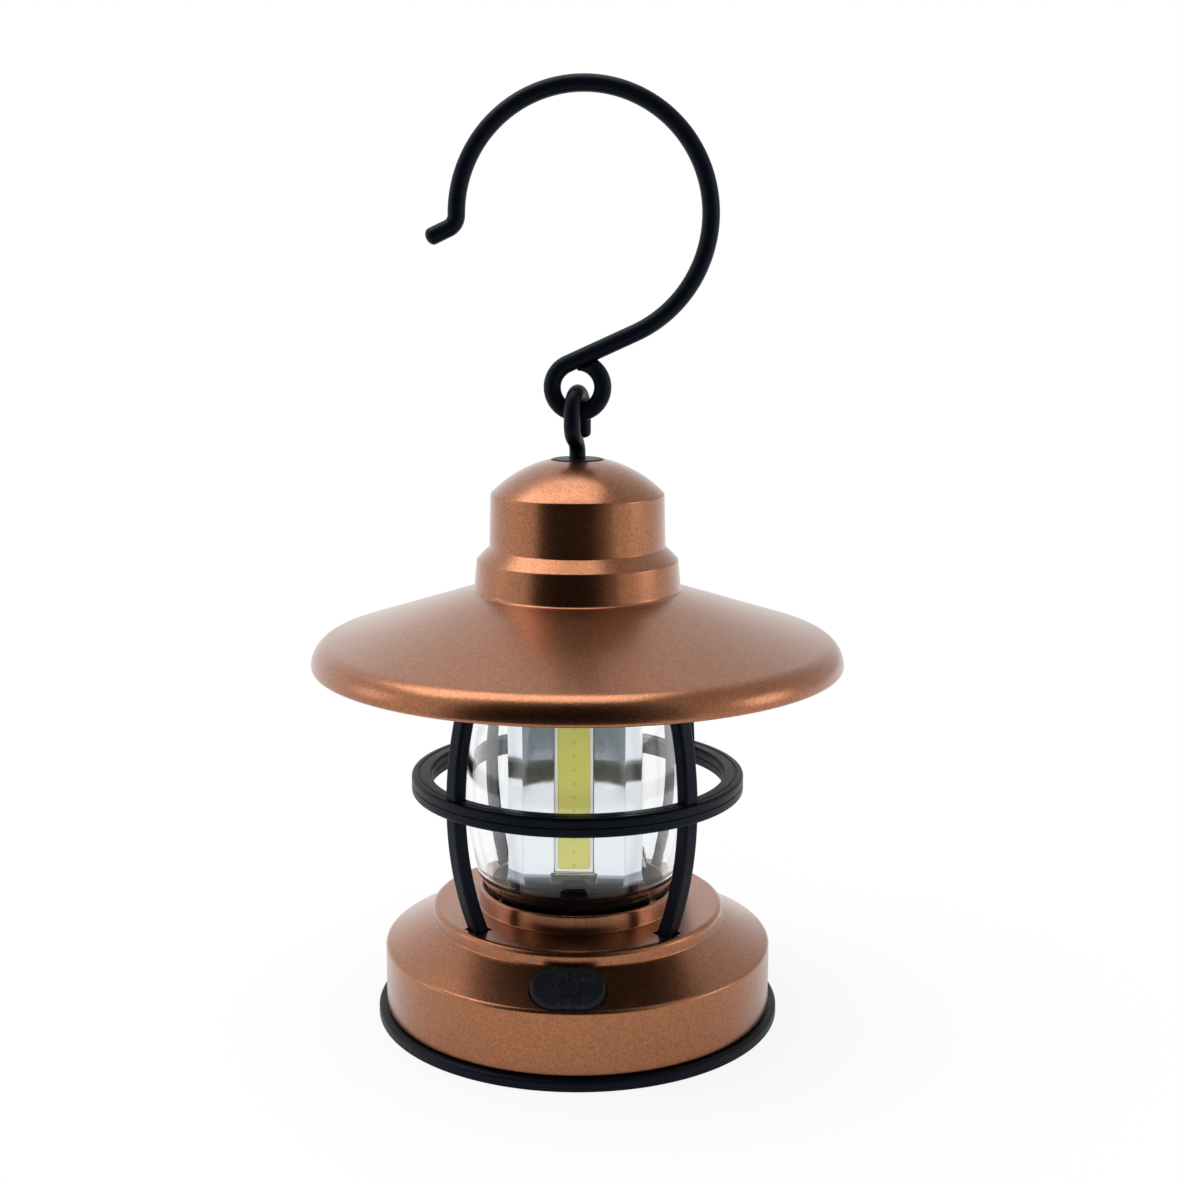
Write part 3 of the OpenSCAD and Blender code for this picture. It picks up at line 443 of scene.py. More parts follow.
# %% [markdown]
# ## Black parts
# Three blacks that differ in their gloss: the cage and the cover are moulded ABS with a satin grain, the hook
# and its eye are steel wire with a thin baked coat, and the button is silicone, the most matt, which draws
# dust. Each is a dark bluish grey rather than black, so that its edges still show form.

# %% Black plastic
BLUE_SHEEN = linear("#c2d2f5")
black_plastic, tree, shader, place = new_finish("moulded_black_abs", {
    "Specular IOR Level": 0.16, "Specular Tint": BLUE_SHEEN})
skin_grain = add(tree, "ShaderNodeTexNoise", {"Vector": place, "Scale": per(0.35), "Detail": 2.0})
patches = add(tree, "ShaderNodeTexNoise", {"Vector": place, "Scale": per(6), "Detail": 4.0})
tone = add(tree, "ShaderNodeMix", {
    0: patches.outputs["Fac"], MIX_A: linear("#020407"), MIX_B: linear("#060910")}, data_type="RGBA")
rough = add(tree, "ShaderNodeMapRange", {"Value": patches.outputs["Fac"], "To Min": 0.34, "To Max": 0.46})
grain = add(tree, "ShaderNodeBump", {
    "Height": skin_grain.outputs["Fac"], "Strength": 0.1, "Distance": 0.05 * MM})
feed(tree, shader, {"Base Color": tone.outputs[MIX_OUT], "Roughness": rough.outputs["Result"],
                    "Normal": grain.outputs["Normal"]})
print(black_plastic.name)

# %% Coated wire
black_wire, tree, shader, place = new_finish("baked_black_coat_on_wire", {
    "Specular IOR Level": 0.17, "Specular Tint": BLUE_SHEEN})
peel = add(tree, "ShaderNodeTexNoise", {"Vector": place, "Scale": per(0.9), "Detail": 2.0})
tone = add(tree, "ShaderNodeMix", {
    0: peel.outputs["Fac"], MIX_A: linear("#020308"), MIX_B: linear("#05070e")}, data_type="RGBA")
rough = add(tree, "ShaderNodeMapRange", {"Value": peel.outputs["Fac"], "To Min": 0.34, "To Max": 0.44})
grain = add(tree, "ShaderNodeBump", {
    "Height": peel.outputs["Fac"], "Strength": 0.15, "Distance": 0.05 * MM})
feed(tree, shader, {"Base Color": tone.outputs[MIX_OUT], "Roughness": rough.outputs["Result"],
                    "Normal": grain.outputs["Normal"]})
print(black_wire.name)

# %% Silicone
silicone, tree, shader, place = new_finish("moulded_black_silicone", {
    "Roughness": 0.62, "Specular IOR Level": 0.25})
dust = add(tree, "ShaderNodeTexNoise", {"Vector": place, "Scale": per(0.45), "Detail": 3.0})
specks = add(tree, "ShaderNodeMapRange", {"Value": dust.outputs["Fac"], "From Min": 0.62, "From Max": 0.75})
tone = add(tree, "ShaderNodeMix", {
    0: specks.outputs["Result"], MIX_A: linear("#0a0d14"), MIX_B: linear("#39404d")}, data_type="RGBA")
grain = add(tree, "ShaderNodeBump", {"Height": dust.outputs["Fac"], "Strength": 0.2, "Distance": 0.06 * MM})
feed(tree, shader, {"Base Color": tone.outputs[MIX_OUT], "Normal": grain.outputs["Normal"]})
print(silicone.name)

# %% [markdown]
# ## The hook and its eye
# Each is one piece of wire, bent in a plane. The path is written as arcs and straight runs in that plane, and
# a circle is carried along it. The hook's tip was tumbled round, and the end of its loop was pressed thin
# under the shank, which closes the loop.

# %% Hook
WIRE_R, LOOP_R, LOOP_GAP = 1.45, 4.2, -0.08
PIVOT_Z, BEND_Z, SIDE_X = 104.238, 136.47, 21.742
SIDE_R, TOP_R, TIP_R = 21.0, 20.8, 2.4
SHANK_DEG, TIP_DEG, TIP_RUN = 24.5, 65, 4.0
loop_c = np.array([0, PIVOT_Z + LOOP_R])
hole_r = LOOP_R - WIRE_R
close_deg = math.degrees(math.asin((hole_r - LOOP_GAP) / (hole_r + 2 * WIRE_R)))
tip_arc = arc((SIDE_X - 2 * TOP_R - TIP_R, BEND_Z), TIP_R, 0, -TIP_DEG, 24)
tip_way = np.array([-math.sin(math.radians(TIP_DEG)), -math.cos(math.radians(TIP_DEG))])
hook_path = np.concatenate([
    arc(loop_c, LOOP_R, SHANK_DEG + close_deg, SHANK_DEG - 270, 320),
    arc((SIDE_X - SIDE_R, BEND_Z), SIDE_R, SHANK_DEG - 90, 0, 120),
    arc((SIDE_X - TOP_R, BEND_Z), TOP_R, 0, 180, 260)[1:],
    tip_arc[1:],
    [tip_arc[-1] + TIP_RUN * tip_way]])


def loop_end(section, angles):
    """The loop's end, narrowed to close it under the shank. At the angle a above the shank the wire is
    (hole - gap) / sin a - hole thick: its inner side stays on the hole, its outer side along the shank."""
    a = np.radians(angles)[:, None]
    half = ((hole_r - LOOP_GAP) / np.sin(a) - hole_r) / 2
    r, turn = hole_r + half * (1 + section[:, 0]), a + math.radians(SHANK_DEG)
    return np.stack([loop_c[0] + r * np.cos(turn), loop_c[1] + r * np.sin(turn), half * section[:, 1]], -1)


grid = np.concatenate([
    loop_end(circle(1, 32), np.linspace(66, close_deg, 30)[:-1]),
    carried(hook_path, circle(WIRE_R, 32), step=0.4, ends=(0, 1.1))])
hook = make_piece("hook_wire", [skin(upright(grid), caps=True)])
dress(hook, black_wire, "hook", ["hook"], sharp=60)

# %% Eye and crown bush
EYE_R, EYE_WIRE_R, EYE_BEND_R = 3.35, 1.35, 2.6
EYE_DROP, EYE_TURN_DEG = 1.9, 90 - 13
bend = math.acos(1 - EYE_R / (2 * EYE_BEND_R))
bend_deg = math.degrees(bend)
stem_top = PIVOT_Z - EYE_DROP - 2 * EYE_BEND_R * math.sin(bend)
eye_path = np.concatenate([
    [[0, 89.64]],
    arc((-EYE_BEND_R, stem_top), EYE_BEND_R, 0, bend_deg, 40),
    arc((EYE_BEND_R - EYE_R, PIVOT_Z - EYE_DROP), EYE_BEND_R, 180 + bend_deg, 180, 40)[1:],
    arc((0, PIVOT_Z), EYE_R, 180, 0, 120),
    [[EYE_R, PIVOT_Z - 4.5]]])
grid = carried(eye_path, circle(EYE_WIRE_R, 28), step=0.3, ends=(0, 0.9))
eye = make_piece("eye_wire", [moved(skin(upright(grid), caps=True), EYE_TURN_DEG)])
dress(eye, black_wire, "eye", ["hook_eye"], sharp=60)

bush_outline = rounded([(1.45, 93.54, 0), (2.9, 93.54, 0.1), (2.9, 95.74, 0), (4.25, 95.74, 0.05),
                        (4.25, 96.638, 0.25), (1.45, 96.638, 0.15)])
bush = make_piece("crown_bush_ring", [turned(bush_outline, 96)])
dress(bush, black_plastic, "lantern", ["crown_bush"])

# %% [markdown]
# ## The cage
# Two mouldings that meet at half height in the ring: the seam shows as a thin line round it, and a fine
# groove runs near the outer edge of its upper and lower face. The ring is a turned outline. A rib is a bar
# with round edges carried along an arc, and its foot goes into the socket of the base.

# %% Cage
RING_Z, RING_H, RING_IN, RING_OUT = 41.3, 1.6, 25.12, 28.52
RIB_ARC_R, RIB_MID_R = 56.701, 26.62
SEAM = 0.05
groove = arc((27.27, RING_H), 0.2, 0, -180, 9)
ring_outline = rounded(
    [(RING_IN, SEAM, 0.1), (RING_OUT, SEAM, 0.12), (RING_OUT, RING_H, 0.5), (27.55, RING_H, 0)],
    plain(groove),
    [(26.99, RING_H, 0), (RING_IN, RING_H, 0.5)], near=0.06)
bar = rectangle(2.4, 2.9, 0.6, near=0.08)


def rib(up, end_z):
    """A bar along the arc r = middle - R + R cos t, z = ring + R sin t, from inside the ring to a height."""
    reach = math.degrees(math.asin((end_z - RING_Z) / RIB_ARC_R))
    path = arc((RIB_MID_R - RIB_ARC_R, RING_Z), RIB_ARC_R, up * 0.7, reach, 60)
    return skin(upright(carried(path, bar, step=0.8)), caps=True)


for name, node, up, end_z in (("cage_upper_half", "upper_cage", 1, 63.3),
                              ("cage_lower_half", "lower_cage", -1, 18.75)):
    half_ring = turned(ring_outline * (1, up) + (0, RING_Z), 224)
    half = make_piece(name, [half_ring] + four(rib(up, end_z), CORNERS_DEG))
    dress(half, black_plastic, "lantern", [node])

# %% [markdown]
# ## The globe
# A clear moulded tube that bulges at half height and draws in like a bowl above its seat in the collar. Its
# wall is real, with an outer and an inner face, because the dark lines at its edges and the copper that shows
# in its lower corners come from light bending in that wall.

# %% Clear plastic and the globe
clear_plastic, tree, shader, place = new_finish("clear_moulded_polycarbonate", {
    "Base Color": linear("#fbfcfd"), "Transmission Weight": 1.0, "IOR": 1.5, "Roughness": 0.0})
flow = add(tree, "ShaderNodeTexNoise", {"Vector": place, "Scale": per(9), "Detail": 1.0})
grain = add(tree, "ShaderNodeBump", {"Height": flow.outputs["Fac"], "Strength": 0.06, "Distance": 0.3 * MM})
feed(tree, shader, {"Normal": grain.outputs["Normal"]})

GLOBE_ARC_R, GLOBE_MID_R, GLOBE_WALL = 56.62, 19.32, 1.2
GLOBE_Z, GLOBE_UP = 40.85, 20.65
globe_c = (GLOBE_MID_R - GLOBE_ARC_R, GLOBE_Z)
faces_r = GLOBE_ARC_R, GLOBE_ARC_R - GLOBE_WALL
high, low = ([math.degrees(math.asin(z / r)) for r in faces_r] for z in (20.4, 11.35))
ends = [globe_c[0] + math.sqrt(r * r - GLOBE_UP ** 2) for r in faces_r]
globe_outline = rounded(
    plain(arc(globe_c, faces_r[0], -low[0], high[0], 70)),
    [(ends[0], GLOBE_Z + GLOBE_UP, 0.15), (ends[1], GLOBE_Z + GLOBE_UP, 0.15)],
    plain(arc(globe_c, faces_r[1], high[1], -low[1], 70)),
    [(16.2, 25.75, 1.2), (14.8, 23.2, 2.0), (14.25, 20.2, 0.15),
     (15.42, 20.2, 0.15), (15.95, 22.7, 0.8), (17.4, 25.3, 2.0)], steps=10, near=0.03)
globe = make_piece("globe_clear", [turned(globe_outline, FINE)])
dress(globe, clear_plastic, "lantern", ["globe"])
globe.visible_shadow = globe.visible_diffuse = False

# %% [markdown]
# ## The light column
# A hollow moulded column, square with cut corners, on a flared octagonal foot, with a vacuum coat of
# aluminium that makes it a mirror. A moulded mirror is never flat: slow waves a few millimetres long bend
# what it shows. Its colour is painted darker towards the foot, grey under the strips and nearly black
# below: a painted dark reflection in the hollow of the foot. The column is one section lofted from the
# octagon to the square. A flat recess on each face takes a strip, and a small shelf stands out under it.

# %% Mirror plating
# The mirror's colour darkens from 28.5 mm down to 24.5 mm above the floor: a painted dark reflection in the
# foot, grey under the strips and nearly black below.
FOOT_SHADE_LOW, FOOT_SHADE_HIGH = 24.5, 28.5
mirror, tree, shader, place = new_finish("vacuum_plated_mirror", {"Metallic": 0.95})
height = add(tree, "ShaderNodeSeparateXYZ", {"Vector": place}).outputs["Z"]
foot_shade = add(tree, "ShaderNodeMapRange", {
    "Value": height, "From Min": FOOT_SHADE_LOW * MM, "From Max": FOOT_SHADE_HIGH * MM})
tone = add(tree, "ShaderNodeValToRGB", {"Fac": foot_shade.outputs["Result"]})
stops = tone.color_ramp.elements
stops.new(0.3)
stops.new(0.6)
painted_foot_shade = (25.6, "#1c2028"), (26.4, "#a4a9b2"), (27.7, "#a4a9b2"), (27.95, "#f1f5fa")
for stop, (level, code) in zip(stops, painted_foot_shade):
    stop.position = (level - FOOT_SHADE_LOW) / (FOOT_SHADE_HIGH - FOOT_SHADE_LOW)
    stop.color = linear(code)
waves = add(tree, "ShaderNodeTexNoise", {"Vector": place, "Scale": per(5), "Detail": 1.5})
haze = add(tree, "ShaderNodeTexNoise", {"Vector": place, "Scale": per(0.6), "Detail": 3.0})
rough = add(tree, "ShaderNodeMapRange", {"Value": haze.outputs["Fac"], "To Min": 0.05, "To Max": 0.15})
grain = add(tree, "ShaderNodeBump", {"Height": waves.outputs["Fac"], "Strength": 0.12, "Distance": 0.1 * MM})
feed(tree, shader, {"Base Color": tone.outputs["Color"], "Roughness": rough.outputs["Result"],
                    "Normal": grain.outputs["Normal"]})
print(mirror.name)


# %% Column
def cut_square(half, corner, radius=0.3):
    """A square with cut corners, its eight edges rounded: rows of x and y."""
    side = half - corner
    return rounded([
        (half, -side, radius), (half, side, radius), (side, half, radius), (-side, half, radius),
        (-half, side, radius), (-half, -side, radius), (-side, -half, radius), (side, -half, radius)],
        steps=8, near=0.05)


def on_face(grid):
    """Points x across, y up and n out from the axis come to the column's front face: x, -n, y."""
    return upright(grid) * (1, -1, 1)


COLUMN_TOP, FLARE_TOP, FLARE_H, FLARE_POWER = 62.3, 28.0, 5.6, 1.5
STRIP_Z, STRIP_W, STRIP_L, STRIP_PLAY = 28.3, 6.5, 30, 0.2
STRIP_MID = STRIP_Z + STRIP_L / 2
SHELF_W, SHELF_H, SHELF_Z, SHELF_SLOPE = 7.8, 1.5, 27.3, 0.35
foot = cut_square(12.2, 5.2)
body = cut_square(11.1, 2.7)
bore = cut_square(9.8, 2.7)
# Going down by t, the section is (1 - t^1.5) body + t^1.5 foot
shares = [(t, t ** FLARE_POWER) for t in np.linspace(1, 0, 12)]
flare = [((1 - share) * body + share * foot, FLARE_TOP - FLARE_H * t) for t, share in shares]
column = make_piece("mirror_column", [skin(stacked([
    (foot, PLATEAU_Z), *flare, (body, COLUMN_TOP), (bore, COLUMN_TOP), (bore, PLATEAU_Z)]), close_rows=True)])
recess_line = rectangle(STRIP_W + STRIP_PLAY, STRIP_L + STRIP_PLAY, 0.05) + (0, STRIP_MID)
recess = stacked([(recess_line, n) for n in (10.2, 14.0)])
cut(column, make_piece("cutter", four(skin(on_face(recess), caps=True))))
shelf = stacked([(rectangle(SHELF_W - 2 * e, SHELF_H - 2 * e, 0.25) + (0, SHELF_Z), n) for e, n in
                 ((0, 10.6), (0, 11.35), (0.06, 11.46), (0.18, 11.53), (0.35, 11.55))])
shelf[..., 2] += SHELF_SLOPE * (SHELF_Z + SHELF_H / 2 - shelf[..., 1])
join(column, make_piece("shelves", four(skin(on_face(shelf), caps=True))))
dress(column, mirror, "lantern", ["led_column"], sharp=9)

# %% [markdown]
# ## The light strips
# Each strip is a thin white board with a cast yellow resin over a row of small light chips. The chips show
# through the resin as small dull dots about 2.35 mm apart. The pattern has to follow the strip on all four
# faces, so it reads the strip's own map: across and along, in millimetres.

# %% Strip finishes
def strip_finish(name, values):
    """A finish that reads the strip's own map."""
    material, tree, shader, place = new_finish(name, values)
    chart = add(tree, "ShaderNodeUVMap", {}, uv_map="strip_mm")
    return material, tree, shader, place, add(tree, "ShaderNodeSeparateXYZ", {"Vector": chart.outputs["UV"]})


CHIP_MM = 2.35
phosphor, tree, shader, place, at = strip_finish("cast_yellow_phosphor_resin", {"Roughness": 0.3})
count = add(tree, "ShaderNodeMath", {0: at.outputs["Y"], 1: CHIP_MM, 2: 0.0}, operation="WRAP")
off = add(tree, "ShaderNodeMath", {0: count.outputs[0], 1: CHIP_MM / 2}, operation="SUBTRACT")
spot = add(tree, "ShaderNodeCombineXYZ", {"X": at.outputs["X"], "Y": off.outputs[0]})
away = add(tree, "ShaderNodeVectorMath", {0: spot.outputs[0]}, operation="LENGTH")
dot = add(tree, "ShaderNodeMapRange", {
    "Value": away.outputs["Value"], "From Min": 0.22, "From Max": 0.42, "To Min": 0.42, "To Max": 0.0})
mottle = add(tree, "ShaderNodeTexNoise", {"Vector": place, "Scale": per(1.6), "Detail": 3.0})
resin = add(tree, "ShaderNodeMix", {
    0: mottle.outputs["Fac"], MIX_A: linear("#cdc75a"), MIX_B: linear("#d9d474")}, data_type="RGBA")
tone = add(tree, "ShaderNodeMix", {
    0: dot.outputs["Result"], MIX_A: resin.outputs[MIX_OUT], MIX_B: linear("#a39a3c")}, data_type="RGBA")
feed(tree, shader, {"Base Color": tone.outputs[MIX_OUT]})

strip_board, tree, shader, place, at = strip_finish("white_strip_board", {"Roughness": 0.45})
# The board turns dark grey beyond 3.08 mm from its middle: a painted shadow of the gap between board and
# recess.
edge = add(tree, "ShaderNodeMath", {0: at.outputs["X"]}, operation="ABSOLUTE")
gap_shade = add(tree, "ShaderNodeMapRange", {"Value": edge.outputs[0], "From Min": 3.08, "From Max": 3.2})
speck = add(tree, "ShaderNodeTexNoise", {"Vector": place, "Scale": per(0.7), "Detail": 2.0})
white = add(tree, "ShaderNodeMix", {
    0: speck.outputs["Fac"], MIX_A: linear("#dfe0d8"), MIX_B: linear("#ebece4")}, data_type="RGBA")
tone = add(tree, "ShaderNodeMix", {
    0: gap_shade.outputs["Result"], MIX_A: white.outputs[MIX_OUT], MIX_B: linear("#6f726c")}, data_type="RGBA")
feed(tree, shader, {"Base Color": tone.outputs[MIX_OUT]})
print(phosphor.name, strip_board.name)


# %% Strips
def strip_layer(width, length, radius, layers):
    """A flat pad on the column's front face: layers of an inset and a distance from the axis."""
    grid = stacked([(rectangle(width - 2 * e, length - 2 * e, radius, near=0.04), n) for e, n in layers])
    return skin(on_face(grid + (0, STRIP_MID, 0)), caps=True)


def map_strip(piece, angle):
    """The strip's own map: x across its face and height above its lower end, both in millimetres."""
    mesh = piece.data
    flat = np.empty(len(mesh.vertices) * 3)
    mesh.vertices.foreach_get("co", flat)
    points = moved((flat.reshape(-1, 3) / MM, None), -angle)[0]
    corner = np.empty(len(mesh.loops), np.int32)
    mesh.loops.foreach_get("vertex_index", corner)
    chart = np.column_stack([points[:, 0], points[:, 2] - STRIP_Z])[corner]
    mesh.uv_layers.new(name="strip_mm").data.foreach_set("uv", chart.ravel())


RESIN_W, RESIN_L = 5.3, 29
BOARD_LAYERS = [(0.04, 10.2), (0, 10.25), (0, 10.95), (0.05, 11.0)]
RESIN_LAYERS = [(0, 11.0), (0, 11.06), (0.05, 11.12), (0.16, 11.18), (0.4, 11.2)]
board_skin = strip_layer(STRIP_W, STRIP_L, 0.15, BOARD_LAYERS)
resin_skin = strip_layer(RESIN_W, RESIN_L, 0.55, RESIN_LAYERS)
for k in range(4):
    board = make_piece(f"strip_board_{k + 1}", [moved(board_skin, 90 * k)])
    map_strip(board, 90 * k)
    dress(board, strip_board, "lantern", [f"led_board_{k + 1}"])
    pad = make_piece(f"strip_resin_{k + 1}", [moved(resin_skin, 90 * k)])
    map_strip(pad, 90 * k)
    dress(pad, phosphor, "lantern", [f"led_phosphor_{k + 1}"], sharp=50)

# %% [markdown]
# ## The button
# A soft silicone button in a hole of the shoulder: a bar with round ends, a raised bead round its edge, a
# shallow dish inside it, and the usual on-off sign standing up in the dish. It is layers of one outline,
# drawn in or out, on the shoulder's own slope. The flange behind the shoulder is part of it.

# %% Button
flange = [(-1, -2.35), (-1, -1.56), (0, -1.55)]
bead = arc((0.55, 0.45), 0.55, 180, 90, 8).tolist()
dish = [(0.85, 1.0), (1.1, 0.94), (1.4, 0.86), (3.2, 0.82)]
layers = stacked([(button_line(e), n) for e, n in flange + bead + dish])
SIGN_N = 0.86
sign_bar = np.array([[0, 0.9], [0, 2.4]])
sign_ring = arc((0, 0), 1.7, 125, 415, 80)
raised = circle(0.22, 14) * (1, 0.9)
sign = [carried(line, raised, step=0.15, ends=(0.2, 0.2)) + (0, 0, SIGN_N) for line in (sign_ring, sign_bar)]
button = make_piece("button_silicone", [skin(on_shoulder(grid), caps=True) for grid in (layers, *sign)])
dress(button, silicone, "button", ["power_button"], sharp=50)

# %% [markdown]
# ## The bottom cover
# A black disc that twists off for the cells: a rim that stands out past the base, a resting ring below with a
# shallow recess and a slot for a coin, and a spigot and four bayonet lugs above.

# %% Cover
cover_outline = rounded(
    plain([(0, 0.5)]), [(26.82, 0.5, 0.1), (27.32, 0, 0.15), (34.82, 0, 0.3), (34.82, 1.9, 0.6)],
    plain([(0, 1.9)]))
spigot = rounded([(31.02, 1.6, 0), (31.62, 1.6, 0), (31.62, 3.1, 0.15), (31.02, 3.1, 0.15)])
lug = rounded([(28.32, 1.6, 0), (29.82, 1.6, 0), (29.82, 5.7, 0.1), (31.52, 5.7, 0.1), (31.52, 7.2, 0.2),
               (28.32, 7.2, 0.2)])
lugs = [turned(lug, 12, a - 6, a + 6) for a in (60, 110, 240, 290)]
cover = make_piece("cover_disc", [turned(cover_outline, FINE, closed=False)])
slot = stacked([(rectangle(20, 2.4, 0.2), n) for n in (-1.0, 1.2)])
cut(cover, make_piece("cutter", [skin(slot, caps=True)]))
join(cover, make_piece("cover_lugs", [turned(spigot, 192)] + lugs))
dress(cover, black_plastic, "cover", ["base_cover"])

# %% [markdown]
# ## Parts inside
# The screws, seals, leads, board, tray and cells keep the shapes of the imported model, which are right as they
# are. They are hidden or nearly so, but they get real finishes too: bright plated steel, soft insulation, a
# green board with tracks under its mask, grained tray plastic and sleeved cells.

# %% Plated steel
plated_steel, tree, shader, place = new_finish("bright_zinc_plated_steel", {"Metallic": 1.0})
lay = add(tree, "ShaderNodeTexNoise", {"Vector": place, "Scale": per(0.8), "Detail": 4.0})
tone = add(tree, "ShaderNodeMix", {
    0: lay.outputs["Fac"], MIX_A: linear("#aab0b5"), MIX_B: linear("#d3d6d8")}, data_type="RGBA")
rough = add(tree, "ShaderNodeMapRange", {"Value": lay.outputs["Fac"], "To Min": 0.2, "To Max": 0.38})
feed(tree, shader, {"Base Color": tone.outputs[MIX_OUT], "Roughness": rough.outputs["Result"]})
print(plated_steel.name)


# %% Inner plastics
def moulded(name, dark, light, roughness, size_mm):
    """A moulded plastic: two tones in clouds and a fine grain, whose features are that wide."""
    material, tree, shader, place = new_finish(name, {"Roughness": roughness})
    cloud = add(tree, "ShaderNodeTexNoise", {"Vector": place, "Scale": per(size_mm * 8), "Detail": 3.0})
    fine = add(tree, "ShaderNodeTexNoise", {"Vector": place, "Scale": per(size_mm), "Detail": 2.0})
    tone = add(tree, "ShaderNodeMix", {
        0: cloud.outputs["Fac"], MIX_A: linear(dark), MIX_B: linear(light)}, data_type="RGBA")
    grain = add(tree, "ShaderNodeBump", {
        "Height": fine.outputs["Fac"], "Strength": 0.2, "Distance": 0.05 * MM})
    feed(tree, shader, {"Base Color": tone.outputs[MIX_OUT], "Normal": grain.outputs["Normal"]})
    print(name)
    return material


tray_plastic = moulded("grained_black_polystyrene", "#17181b", "#222428", 0.55, 0.3)
chip_resin = moulded("moulded_epoxy_chip", "#121315", "#1b1c1f", 0.6, 0.15)
acetal_red = moulded("moulded_red_acetal", "#7f2722", "#97342d", 0.35, 0.4)
red_sleeve = moulded("red_pvc_insulation", "#8f1a1a", "#a82624", 0.4, 0.5)
black_sleeve = moulded("black_pvc_insulation", "#131416", "#1f2023", 0.4, 0.5)
ceiling_plastic = moulded("moulded_dark_abs_plate", "#15161a", "#1d1f24", 0.5, 0.35)

# %% Board and cells
WAVE_BANDS = 6.28  # a wave pattern of scale 1 has about this many bands, dark and light, in one unit
board_mask, tree, shader, place = new_finish("green_masked_glass_epoxy", {"Roughness": 0.35})
tracks = add(tree, "ShaderNodeTexWave", {
    "Vector": place, "Scale": per(1.8) / WAVE_BANDS, "Distortion": 3.0}, bands_direction="X")
line = add(tree, "ShaderNodeMapRange", {"Value": tracks.outputs["Fac"], "From Min": 0.55, "From Max": 0.62})
tone = add(tree, "ShaderNodeMix", {
    0: line.outputs["Result"], MIX_A: linear("#1b4d33"), MIX_B: linear("#2c6c49")}, data_type="RGBA")
feed(tree, shader, {"Base Color": tone.outputs[MIX_OUT]})

cell_sleeve, tree, shader, place = new_finish("shrink_sleeve_on_steel_can", {"Roughness": 0.3})
axis = add(tree, "ShaderNodeSeparateXYZ", {"Vector": place})
along = add(tree, "ShaderNodeMath", {0: axis.outputs["X"]}, operation="ABSOLUTE")
band = add(tree, "ShaderNodeMapRange", {
    "Value": along.outputs[0], "From Min": 12.0 * MM, "From Max": 12.2 * MM})
print_grain = add(tree, "ShaderNodeTexNoise", {"Vector": place, "Scale": per(2), "Detail": 3.0})
gold = add(tree, "ShaderNodeMix", {
    0: print_grain.outputs["Fac"], MIX_A: linear("#a9812f"), MIX_B: linear("#c09a48")}, data_type="RGBA")
tone = add(tree, "ShaderNodeMix", {
    0: band.outputs["Result"], MIX_A: linear("#26282c"), MIX_B: gold.outputs[MIX_OUT]}, data_type="RGBA")
feed(tree, shader, {"Base Color": tone.outputs[MIX_OUT]})
print(board_mask.name, cell_sleeve.name)

# %% Finishes of the carried-over nodes
carried_over = {
    plated_steel: ["eye_washer", "eye_nut", "shade_screws", "column_top_screws", "column_base_screws",
                   "board_screws", "tray_screws", "contact_springs", "contact_plates"],
    silicone: ["upper_gasket", "lower_gasket"],
    red_sleeve: ["led_lead_red", "supply_lead_red"],
    black_sleeve: ["led_jumpers", "led_lead_black", "supply_lead_black"],
    tray_plastic: ["battery_tray", "tact_switch"],
    chip_resin: ["driver_chip"],
    acetal_red: ["switch_plunger"],
    ceiling_plastic: ["ceiling_plate"],
    board_mask: ["circuit_board"],
    cell_sleeve: ["cell_1", "cell_2", "cell_3"],
}
for finish, names in carried_over.items():
    for name in names:
        for material_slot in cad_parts[name].material_slots:
            material_slot.material = finish
dressed = sum(len(names) for names in carried_over.values())
print("carried over", dressed, "of", len(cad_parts), "nodes")

# %% [markdown]
# ## The studio
# A white floor under white surroundings. The camera sees plain white behind the lantern. The floor glows
# white only for the rays that look at it, straight, in a mirror or through the globe; to the rest it is a
# matt white. It is darker where the lantern stands, most of all in mirrors. Above the white horizon the
# room's light falls off towards a grey ceiling, and it is weaker on the right.

# %% Floor
def seen_rays(tree):
    """1 for camera, glossy and transmission rays, 0 for the rest."""
    path = add(tree, "ShaderNodeLightPath", {})
    first = add(tree, "ShaderNodeMath", {
        0: path.outputs["Is Camera Ray"], 1: path.outputs["Is Glossy Ray"]}, operation="MAXIMUM")
    both = add(tree, "ShaderNodeMath", {
        0: first.outputs[0], 1: path.outputs["Is Transmission Ray"]}, operation="MAXIMUM")
    return both.outputs[0]


def sheet(name, grid, material):
    """An open sheet that belongs to the studio."""
    piece = make_piece(name, [skin(np.asarray(grid, float), close_columns=False)])
    piece.data.materials.append(material)
    piece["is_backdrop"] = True
    print(name, len(piece.data.polygons), "faces")
    return piece


floor_white = bpy.data.materials.new("white_studio_floor")
floor_white.use_nodes = True
tree = floor_white.node_tree
tree.nodes.clear()
matt = add(tree, "ShaderNodeBsdfDiffuse", {"Color": (0.9, 0.9, 0.9, 1)})
glow = add(tree, "ShaderNodeEmission", {"Strength": 1.0})
floor_place = add(tree, "ShaderNodeTexCoord", {}).outputs["Object"]
away = add(tree, "ShaderNodeVectorMath", {0: floor_place}, operation="LENGTH")
near = add(tree, "ShaderNodeMapRange", {
    "Value": away.outputs["Value"], "From Min": 0.035, "From Max": 0.2, "To Min": 1.0, "To Max": 0.0})
mirrored = add(tree, "ShaderNodeLightPath", {}).outputs["Is Glossy Ray"]
shade_part = add(tree, "ShaderNodeMapRange", {"Value": mirrored, "To Min": 0.14, "To Max": 0.6})
lost = add(tree, "ShaderNodeMath", {
    0: near.outputs["Result"], 1: shade_part.outputs["Result"]}, operation="MULTIPLY")
white = add(tree, "ShaderNodeMath", {0: 1.0, 1: lost.outputs[0]}, operation="SUBTRACT")
share = add(tree, "ShaderNodeMath", {0: seen_rays(tree), 1: white.outputs[0]}, operation="MULTIPLY")
